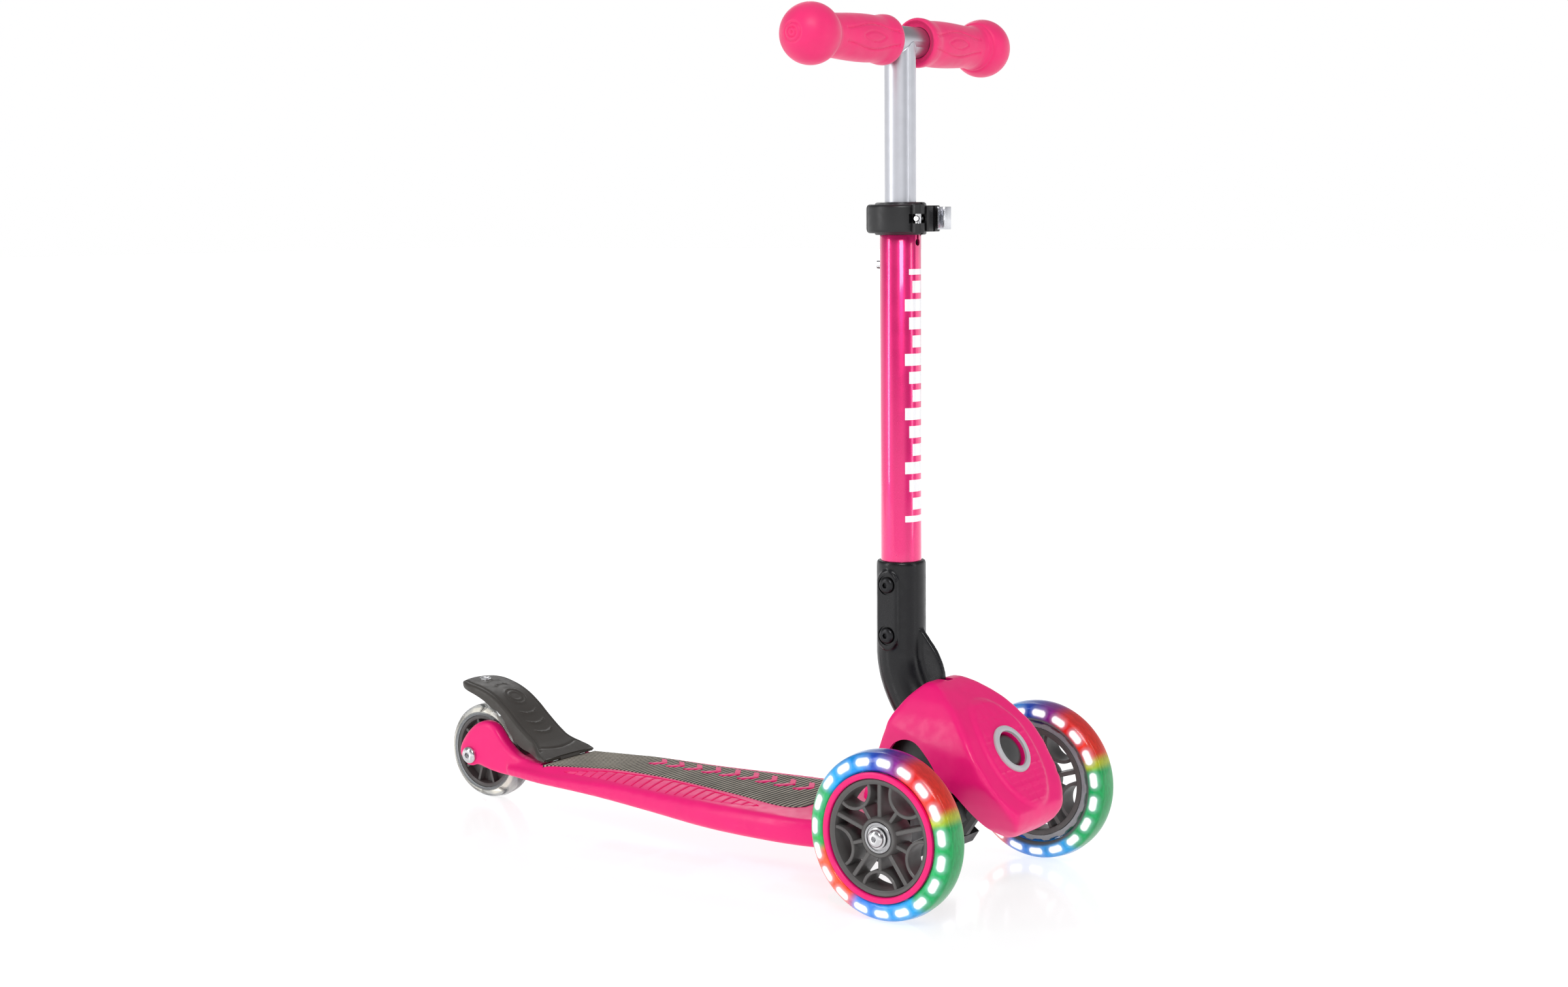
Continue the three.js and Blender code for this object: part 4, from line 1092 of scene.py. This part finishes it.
def brake():
    crest = [Vector(p) for p in smooth_line(BRAKE_CREST, 12)]
    rings, along = [], 0.0
    for i, point in enumerate(crest):
        before, after = crest[max(i - 1, 0)], crest[min(i + 1, len(crest) - 1)]
        if i:
            along += (point - crest[i - 1]).length
        direction = (after - before).normalized()
        up = Vector((-direction.y, direction.x))
        half = 21.8 * min(1.0, math.sqrt(max(1 - (1 - min((along + 0.6) / 25, 1)) ** 2, 0)))
        half = max(half, 2.0) + 8.4 * ease(-409, -390, point.x)
        skirt = skirt_depth(point, up, -1.5)
        corner = min(3.2, half * 0.4, skirt * 0.6)
        thick = 4.4 - 1.6 * ease(-400, -388, point.x)
        outer = []
        columns = 49
        for k in range(columns):
            y = (half - corner) * (2 * k / (columns - 1) - 1)
            crown = -1.5 * (y / max(half, 1)) ** 2
            outer.append((y, crown + brake_emboss(along, y, half)))
        rim = -1.5 * ((half - corner) / half) ** 2
        bend = [(half - corner + corner * math.sin(a), rim - corner * (1 - math.cos(a)))
                for a in (TURN / 4 * k / 5 for k in range(1, 6))]
        wall = [(half, rim - corner - (skirt - corner) * 0.5), (half - 0.4, rim - skirt)]
        inner_wall = [(half - 2.6, rim - skirt), (half - 3.0, -thick - 0.05 * (skirt - thick))]
        right = [*bend, *wall, *inner_wall]
        under = [((half - 4.5) * (1 - 2 * k / 10), -thick) for k in range(11)]
        left = [(-y, h) for y, h in reversed(right)]
        section = [*outer, *right, *under, *left]
        rings.append([(point.x + up.x * h, y, point.y + up.y * h) for y, h in section])
    body = solid(loft(rings))
    knuckle = solid(rod(4.1, -11.6, 11.6, 32), AT_BRAKE_PIN)
    web = solid(plate([(-393.5, 46), (-387.5, 46), (-387.5, 47), (-393, 50.2)], -11.6, 11.6), SIDE)
    lip = solid(plate([(-388.0, 45), (-386.8, 45), (-386.5, 47.4), (-387.8, 47.8)], -28, 28), SIDE)
    join(body, knuckle, web, lip)
    cut(body, solid(rod(2.8, -30, 30, 32), AT_BRAKE_PIN),
        solid(rod(2.8, 80, 110, 24), shift(STUD_X, 0, 0)))
    finish("brake_lever", body, "brake", finishes["brake"], ["brake"], angle=50)
    rivet = [(0, 92.2), (4.2, 92.2), (4.2, 93), (2.5, 93.2), (2.5, 99.0), (4.8, 99.3), (4.7, 100),
             (3.9, 100.6), (2.4, 101.0), (1.8, 100.6), (0, 100.5)]
    finish("brake_stud", Shape().add(revolve(rivet, 40), shift(STUD_X, 0, 0)), "brake",
           finishes["steel"], ["brake_rivet"])
    coil = [(3.0 * math.cos(a), 3.0 * math.sin(a), 41 + 11.6 * a / (6 * TURN))
            for a in (TURN * k / 16 for k in range(97))]
    spring = finish("brake_coil", Shape().add(tube_along(coil, 0.6, 8), shift(BRAKE_SPRING_X, 0, 0)),
                    "deck", finishes["steel"], ["brake_spring"])
    compress(spring)


# ---- folding bracket and stem ----
BOLTS = (("upper", place_of("bracket_bolt_upper").z), ("lower", place_of("bracket_bolt_lower").z))
SOCKET_R = 18.0


def fold_bracket():
    socket = [(0, 166), (SOCKET_R, 166), (SOCKET_R, 232.6), (17.7, 234.2), (16.9, 235.2), (0, 235.5)]
    body = solid(revolve(socket, ROUND), shift(STEM.x, 0, 0))
    rings = []
    top, bend, root = Vector((STEM.x, 0, 170)), Vector((STEM.x, 0, 138)), Vector((HINGE.x, 0, 107))
    steps = 22
    for i in range(steps + 1):
        t = i / steps
        point = (1 - t) ** 2 * top + 2 * t * (1 - t) * bend + t * t * root
        along = ((1 - t) * (bend - top) + t * (root - bend)).normalized()
        side = Vector((0, 1, 0))
        up = side.cross(along)
        wide = SOCKET_R - 1.0 * ease(0.4, 1, t)
        rings.append([point + side * wide * math.cos(a) + up * SOCKET_R * math.sin(a)
                      for a in (TURN * k / 40 for k in range(40))])
    fin = smooth_line([(-50, 190), (-41, 187.5), (-32, 177.6), (-26.2, 170.4), (-22.2, 163),
                       (-19.8, 156), (-19.2, 150), (-20.6, 140), (-28, 128)], 4) + [Vector((-50, 126))]
    knuckle = revolve([(0, -17), (16, -17), (17, -16), (17, 16), (16, 17), (0, 17)], ROUND)
    round_pad = [*arc((0, 220.3), 8.6, 0, 180, 14), *arc((0, 179.4), 8.6, 180, 360, 14)]
    join(body, solid(loft(rings)), solid(plate(fin, -2.6, 2.6), SIDE),
         solid(knuckle, shift(HINGE.x, 0, HINGE.z) @ ALONG_Y),
         solid(plate(round_pad, -19.2, 19.2), shift(STEM.x, 0, 0) @ SIDE))
    melt(body, 0.9, 7)
    tools = [solid(rod(15.2, 171.7, 240, ROUND), shift(STEM.x, 0, 0))]
    for _, z in BOLTS:
        drill = rod(3.3, -30, 30, 32)
        seat = rod(7.2, -30, -18.2, 48)
        for made in (drill, seat):
            tools.append(solid(made, shift(STEM.x, 0, z) @ ALONG_Y))
    tools.append(solid(rod(4.3, -30, 30, 40), shift(HINGE.x, 0, HINGE.z) @ ALONG_Y))
    cut(body, *tools)
    finish("fold_elbow", body, "stem", finishes["bracket"], ["fold_bracket"],
           angle=45)
    for label, z in BOLTS:
        bolt = Shape().add(button_head(6, 3.1, 2.2, 18.3), shift(STEM.x, 0, z) @ HALF_TURN @ ALONG_Y)
        shank = rod(3, -18.5, 18.6, 32)
        bolt.add(shank, shift(STEM.x, 0, z) @ HALF_TURN @ ALONG_Y)
        finish(f"elbow_bolt_{label}", bolt, "stem", finishes["dark_steel"],
               [f"bracket_bolt_{label}"])


def stem():
    wall = [(13.3, 172), (14.6, 172), (14.9, 172.3), (14.9, 491.6), (14.6, 492), (13.3, 492)]
    body = solid(revolve(wall, 96, loop=True), shift(STEM.x, 0, 0))
    slit = solid(plate([(STEM.x, -1.2), (STEM.x + 20, -1.2), (STEM.x + 20, 1.2), (STEM.x, 1.2)],
                       463, 500))
    across = Matrix.Rotation(TURN / 4, 4, "Y")
    holes = [solid(rod(2.6, 0, 20, 32), shift(STEM.x, 0, 465) @ across)]
    for drop in (0, 35, 70):
        holes.append(solid(rod(4.0, -20, 0, 32), shift(STEM.x, 0, PIN_Z - drop) @ across))
    for _, z in BOLTS:
        holes.append(solid(rod(3.3, -30, 30, 32), shift(STEM.x, 0, z) @ ALONG_Y))
    cut(body, slit, *holes)
    finish("stem_pipe", body, "stem", stem_paint(), ["stem_tube"])


# ---- height clamp, drawn about the stem axis ----
CLAMP_BOLT_OUT = 24  # from the stem's middle to the clamp bolt, mm


def clamp():
    at_stem = shift(STEM.x, 0, 0)
    at_bolt = shift(STEM.x + CLAMP_BOLT_OUT, 0, CLAMP_Z) @ ALONG_Y
    low, high = CLAMP_Z - 11.5, CLAMP_Z + 11.7
    ring = [(15.2, low), (17.6, low), (18.4, low + 0.5), (18.6, low + 1.3), (18.6, high - 2.2),
            (18.2, high - 0.9), (17.0, high - 0.1), (15.5, high), (11.7, high), (11.6, high - 0.4),
            (11.6, high - 1.2), (15.2, high - 1.2)]
    body = solid(revolve(ring, 96, loop=True), at_stem)
    ears = [(16.5, -8), (28, -8), (29, -7), (29, 7), (28, 8), (16.5, 8)]
    join(body, solid(plate(ears, 472.5, 491, 0.8), at_stem))
    hole = rod(2.8, -30, 30, 32)
    cut(body, solid(plate([(5, -1.3), (40, -1.3), (40, 1.3), (5, 1.3)], 460, 500), at_stem),
        solid(hole, at_bolt))
    finish("clamp_ring", body, "stem", finishes["black"], ["clamp_collar"])
    # The lever wraps round the collar: thick at its eye, thinner and chamfered at its free end.
    rings = []
    steps = 46
    for i in range(steps + 1):
        share = i / steps
        angle = math.radians(-30 - 128 * share)
        out = 24.5 - 0.5 * bump(share - 0.80, 0.018) - 0.5 * bump(share - 0.88, 0.018)
        tall = 10.3 - 3.4 * ease(0.84, 1.0, share) ** 2
        edge = 2.7
        section = [(19.3, -tall), *arc((out - edge, edge - tall), edge, -90, 0, 6), (out, 0),
                   *arc((out - edge, tall - edge), edge, 0, 90, 6), (19.3, tall)]
        rings.append([(r * math.cos(angle), r * math.sin(angle), CLAMP_Z + h) for r, h in section])
    lever = solid(loft(rings), at_stem)
    pivot = at_stem @ shift(CLAMP_BOLT_OUT, -13, CLAMP_Z)
    eye = [(0, -10.3), (4.2, -10.3), (4.7, -9.8), (4.7, 9.8), (4.2, 10.3), (0, 10.3)]
    join(lever, solid(revolve(eye, 48), pivot))
    cut(lever, solid(rod(6.5, -3.3, 3.3, 48), pivot), solid(rod(3.2, -20, 20, 40), pivot))
    finish("quick_lever", lever, "clamp_lever", finishes["black"],
           ["clamp_lever"], angle=40)
    barrel = solid(revolve([(0, -8.2), (2.6, -8.2), (2.95, -7.8), (2.95, -4), (2.5, -3.4),
                            (2.5, 3.4), (2.95, 4), (2.95, 7.8), (2.6, 8.2), (0, 8.2)], 40), pivot)
    cut(barrel, solid(rod(2.3, -30, 30, 32), at_bolt))
    finish("lever_barrel", barrel, "stem", finishes["steel"], ["clamp_barrel"])
    fold = [(19.5, 8.5), (30.3, 8.5), (30.6, 8.2), (30.6, 1.6), (30.9, 1.1), (31.8, 1.1),
            (32.1, 1.6), (32.1, 8.2), (32.5, 8.5), (35.2, 8.5), (35.5, 8.2), (35.5, 1.6),
            (35.8, 1.1), (36.8, 1.1), (37.1, 1.6), (37.1, 9.4), (36.5, 10), (19.5, 10)]
    bracket = solid(plate(fold, 474, 490, 0.3, 2), at_stem)
    cut(bracket, solid(hole, at_bolt))
    finish("bent_bracket", bracket, "stem", finishes["bracket_metal"], ["clamp_bracket"])
    bolt = Shape().add(button_head(4.5, 3.0, 1.6, 10.3), at_bolt)
    bolt.add(revolve([(0, -15.8), (1.7, -15.8), (2, -15.5), (2, 10.4), (0, 10.4)], 32),
             at_bolt)
    finish("clamp_screw", bolt, "stem", finishes["steel"], ["clamp_bolt"])


# ---- T-bar and grips ----
def t_bar():
    upright = solid(revolve([(0, 300), (11.2, 300), (11.2, BAR_Z), (0, BAR_Z)], 96),
                    shift(STEM.x, 0, 0))
    cross_at = shift(STEM.x, 0, BAR_Z) @ ALONG_Y
    join(upright, solid(rod(11, -100, 100, 96), cross_at))
    bores = [solid(revolve([(0, 290), (9.6, 290), (9.6, BAR_Z - 18), (0, BAR_Z - 18)], ROUND),
                   shift(STEM.x, 0, 0))]
    for ends in ((20, 105), (-105, -20)):
        bores.append(solid(revolve([(0, ends[0]), (9.4, ends[0]), (9.4, ends[1]), (0, ends[1])],
                                   ROUND), cross_at))
    bores.append(solid(rod(3.8, -20, 0, 32),
                       shift(STEM.x, 0, PIN_Z) @ Matrix.Rotation(TURN / 4, 4, "Y")))
    cut(upright, *bores)
    finish("tee_bar", upright, "handlebar", finishes["silver"], ["t_bar"], angle=30)
    seam = []
    for k in range(120):
        angle = TURN * k / 120
        x, y = 10.95 * math.cos(angle), 11.2 * math.sin(angle)
        drop = math.sqrt(max(11.0 ** 2 - x * x, 0.0))
        seam.append((STEM.x + x * 1.015, y, BAR_Z - drop))
    finish("tee_weld", Shape().add(tube_along(seam, 0.55, 8, wrap=True)), "handlebar",
           finishes["silver"])


GRIP_START, BALL_AT, BALL_R = 18.5, 107.0, 21.3


def grip_line():
    """The grip's outer line: (radius, distance from the middle of the bar)."""
    body = smooth_line([(24.0, 17.7), (27.5, 17.2), (33, 16.4), (44, 16.7), (56, 16.6), (68, 16.1),
                        (80, 15.4), (88.5, 15.3)], 12)
    line = [(p.y, p.x) for p in body]
    start = math.acos(-math.sqrt(BALL_R ** 2 - 15.6 ** 2) / BALL_R)
    steps = 100
    for k in range(1, steps + 1):
        angle = start * (1 - k / steps)
        line.append((BALL_R * math.sin(angle), BALL_AT + BALL_R * math.cos(angle)))
    line[-1] = (0, line[-1][1])
    return line


def grip_relief(y, angle, radius):
    """Embossed leaf lines on the front and back of the grip, and rings at the ball's end."""
    relief = 0.0
    around = math.remainder(angle, math.pi) * radius
    if 24 < y < 84:
        edge = 7.2 + 2.3 * math.cos(TURN * (y - 53) / 62)
        relief -= 0.9 * bump(abs(around) - edge, 0.7)
        along = (y - 53) / 13
        if abs(along) < 1:
            edge = 3.6 * (1 - along * along)
            relief -= 0.7 * bump(abs(around) - edge, 0.7)
    if y > BALL_AT + 10 and radius > 0:
        relief -= 0.8 * bump(radius - 6.6, 0.7) + 0.7 * bump(radius - 3.4, 0.6)
        relief -= 0.9 * bump(radius, 1.0)
    if 88 < y < BALL_AT + 12:
        relief -= 0.7 * bump(y - 94.5 - 1.8 * math.cos(angle), 0.7)
    return relief


def grip(side, label):
    line = grip_line()
    mouth = [(11.3, 97), (11.3, 21.5), (14.9, 20.6), (15.6, GRIP_START + 0.4), (16.3, GRIP_START),
             (17.2, 19.0), (17.75, 20.6)]
    profile = [(0, 97), *mouth, *line]
    points, faces = revolve(profile, 144)
    lifted = []
    for x, y, z in points:
        radius = math.hypot(x, y)
        if z > 24 and radius > 13 or z > BALL_AT + 10:
            relief = grip_relief(z, math.atan2(y, x), radius)
            if z > BALL_AT + 10 and radius < 12:
                z += relief
            elif radius > 0:
                x, y = (v * (radius + relief) / radius for v in (x, y))
        lifted.append((x, y, z))
    turn = Matrix.Identity(4) if side > 0 else HALF_TURN
    shape = Shape().add((lifted, faces), shift(STEM.x, 0, BAR_Z) @ turn @ ALONG_Y)
    finish(f"ball_grip_{label}", shape, "handlebar", finishes["grip"],
           [f"grip_{label}"], angle=60)


def soft_parts():
    """The steering bumpers and the leaf spring behind the height pin."""
    along_x = Matrix.Rotation(TURN / 4, 4, "Y")
    barrel = [(0, 0), (4.4, 0), (5, 0.6), (5, 4.2), (4.5, 5), (4.5, 5.6), (5, 6.4), (5, 9),
              (4.5, 9.8), (4.5, 10.4), (5, 11.2), (5, 14.8), (4.4, 15.4), (0, 15.4)]
    for side, label in ((1, "left"), (-1, "right")):
        start = (-29.7, side * 26, 57)
        bumper = finish(f"rubber_bumper_{label}",
                        Shape().add(revolve(barrel, 40), shift(*start) @ along_x), "deck",
                        finishes["bumper"], [f"steer_bumper_{label}"])
        compress(bumper)
    leaf_line = [(-61.7, 455), (-61.7, 442), (-55.6, 416), (-54.4, 416), (-48.3, 442), (-48.3, 455),
                 (-49.1, 455), (-49.1, 442.3), (-55, 418.4), (-60.9, 442.3), (-60.9, 455)]
    spring = finish("leaf_spring", Shape().add(plate(leaf_line, -3, 3), SIDE), "handlebar",
                    finishes["steel"], ["height_spring"])
    compress(spring)


# ---- CAD pieces that stay: softer edges and their own finish ----
KEPT = {
    "axle_carrier": "black", "front_frame": "black", "kingpin": "steel", "kingpin_nut": "steel",
    "frame_screw_left": "steel", "frame_screw_right": "steel", "hinge_pin": "steel",
    "brake_pin": "steel", "rear_axle_nut": "steel", "magnet_spacer_left": "black",
    "magnet_spacer_right": "black",
    "spacer_rear": "steel", "button_guide": "black", "stem_bush": "black", "height_pin": "steel",
}
EDGE_WIDTH = {"axle_carrier": 0.9, "front_frame": 0.7}


def keep_cad_pieces():
    for node, look in KEPT.items():
        piece = frame["nodes"][node]
        piece.data.materials.clear()
        piece.data.materials.append(finishes[look])
        shade(piece.data, 32)
        bevel = piece.modifiers.new("edges", "BEVEL")
        bevel.width = EDGE_WIDTH.get(node, 0.25) * MM
        bevel.segments = 2
        bevel.limit_method = "ANGLE"
        bevel.angle_limit = math.radians(40)


# ---- stage: floor, light and camera ----
def stage():
    mesh = bpy.data.meshes.new("floor")
    reach = 24.0
    corners = [(-reach, -reach, 0), (reach, -reach, 0), (reach, reach, 0), (-reach, reach, 0)]
    mesh.from_pydata(corners, [], [(0, 1, 2, 3)])
    floor = bpy.data.objects.new("floor", mesh)
    floor.location.z = -0.0002
    bpy.context.scene.collection.objects.link(floor)
    look = Finish("pale_floor", Specular_IOR_Level=0.35)
    look.paint("Base Color", look.mix(look.noise(60, 2), (0.36, 0.36, 0.365), (0.38, 0.38, 0.385)))
    look.paint("Roughness", look.spread(look.noise(30, 3), 0.10, 0.13))
    look.shader.inputs["Emission Color"].default_value = (1, 1, 1, 1)
    look.shader.inputs["Emission Strength"].default_value = 0.76
    mesh.materials.append(look.material)


def area_light(name, place, target, size, power, height=None):
    data = bpy.data.lights.new(name, "AREA")
    data.shape = "RECTANGLE"
    data.size = size
    data.size_y = height or size
    data.energy = power
    lamp = bpy.data.objects.new(name, data)
    lamp.location = place
    lamp.rotation_euler = (Vector(target) - Vector(place)).to_track_quat("-Z", "Y").to_euler()
    bpy.context.scene.collection.objects.link(lamp)


def lighting():
    world = bpy.data.worlds.new("studio")
    bpy.context.scene.world = world
    world.use_nodes = True
    tree = world.node_tree
    background = tree.nodes["Background"]
    place = tree.nodes.new("ShaderNodeTexCoord")
    parts = tree.nodes.new("ShaderNodeSeparateXYZ")
    ramp = tree.nodes.new("ShaderNodeValToRGB")
    stops = ramp.color_ramp.elements
    stops[0].position, stops[0].color = 0.0, (1.0, 1.0, 1.0, 1)
    stops[1].position, stops[1].color = 1.0, (0.6, 0.6, 0.62, 1)
    for spot, level in ((0.16, 1.0), (0.34, 0.3), (0.6, 0.3)):
        stops.new(spot).color = (level, level, level * 1.02, 1)
    tree.links.new(place.outputs["Generated"], parts.inputs[0])
    tree.links.new(parts.outputs["Z"], ramp.inputs["Fac"])
    # One side of the studio is darker, which gives tubes and rounded parts their shading.
    # The darkness starts a little above the horizon, so that the floor fades into white.
    amount = tree.nodes.new("ShaderNodeMath")
    amount.operation = "MULTIPLY"
    for i, (socket, start, end) in enumerate((("X", 0.72, 0.96), ("Z", 0.03, 0.10))):
        rise = tree.nodes.new("ShaderNodeMapRange")
        rise.interpolation_type = "SMOOTHSTEP"
        rise.inputs["From Min"].default_value = start
        rise.inputs["From Max"].default_value = end
        tree.links.new(parts.outputs[socket], rise.inputs["Value"])
        tree.links.new(rise.outputs["Result"], amount.inputs[i])
    dim = tree.nodes.new("ShaderNodeMix")
    dim.data_type = "RGBA"
    dim.inputs[7].default_value = (0.22, 0.22, 0.25, 1)
    tree.links.new(amount.outputs[0], dim.inputs["Factor"])
    tree.links.new(ramp.outputs["Color"], dim.inputs[6])
    tree.links.new(dim.outputs[2], background.inputs["Color"])
    background.inputs["Strength"].default_value = 1.0
    area_light("key", (1.7, -1.9, 2.3), (0, 0, 0.3), 1.0, 34)
    area_light("left_strip", (-1.3, -1.9, 1.2), (0.1, 0, 0.3), 0.4, 14, height=1.8)
    area_light("right_strip", (2.3, 0.4, 1.1), (0.1, 0, 0.3), 0.4, 7, height=1.8)
    area_light("back", (-1.6, 1.8, 1.9), (0, 0, 0.3), 1.0, 8)


AZIMUTH = math.radians(37.25)
ELEVATION = math.radians(6.67)
ROLL = math.radians(-0.46)
CAMERA_PLACE = Vector((0.9273, -1.4350, 0.4873))  # from the ground below the front axle, m
SENSOR_WIDTH = 36.0
LENS = 55.31


def camera():
    data = bpy.data.cameras.new("camera")
    data.sensor_width = SENSOR_WIDTH
    data.lens = LENS
    data.clip_start = 0.05
    data.clip_end = 60
    view = bpy.data.objects.new("camera", data)
    bpy.context.scene.collection.objects.link(view)
    ahead = Vector((-math.sin(AZIMUTH) * math.cos(ELEVATION),
                    math.cos(AZIMUTH) * math.cos(ELEVATION), -math.sin(ELEVATION)))
    right = Vector((math.cos(AZIMUTH), math.sin(AZIMUTH), 0))
    up = right.cross(ahead)
    right, up = (math.cos(ROLL) * right + math.sin(ROLL) * up,
                 -math.sin(ROLL) * right + math.cos(ROLL) * up)
    turned = Matrix((right, up, -ahead)).transposed().to_4x4()
    view.matrix_world = Matrix.Translation(GROUND + CAMERA_PLACE) @ turned
    bpy.context.scene.camera = view


bpy.context.scene.view_settings.view_transform = "Standard"
camera()
lighting()
stage()
for wheel_side, wheel_label in ((1, "left"), (-1, "right")):
    front_wheel(wheel_side, wheel_label)
    grip(wheel_side, wheel_label)
rear_wheel()
cover()
deck()
shoulder_ribs()
grip_pad()
brake()
fold_bracket()
stem()
clamp()
t_bar()
soft_parts()
keep_cad_pieces()

bpy.context.view_layer.update()
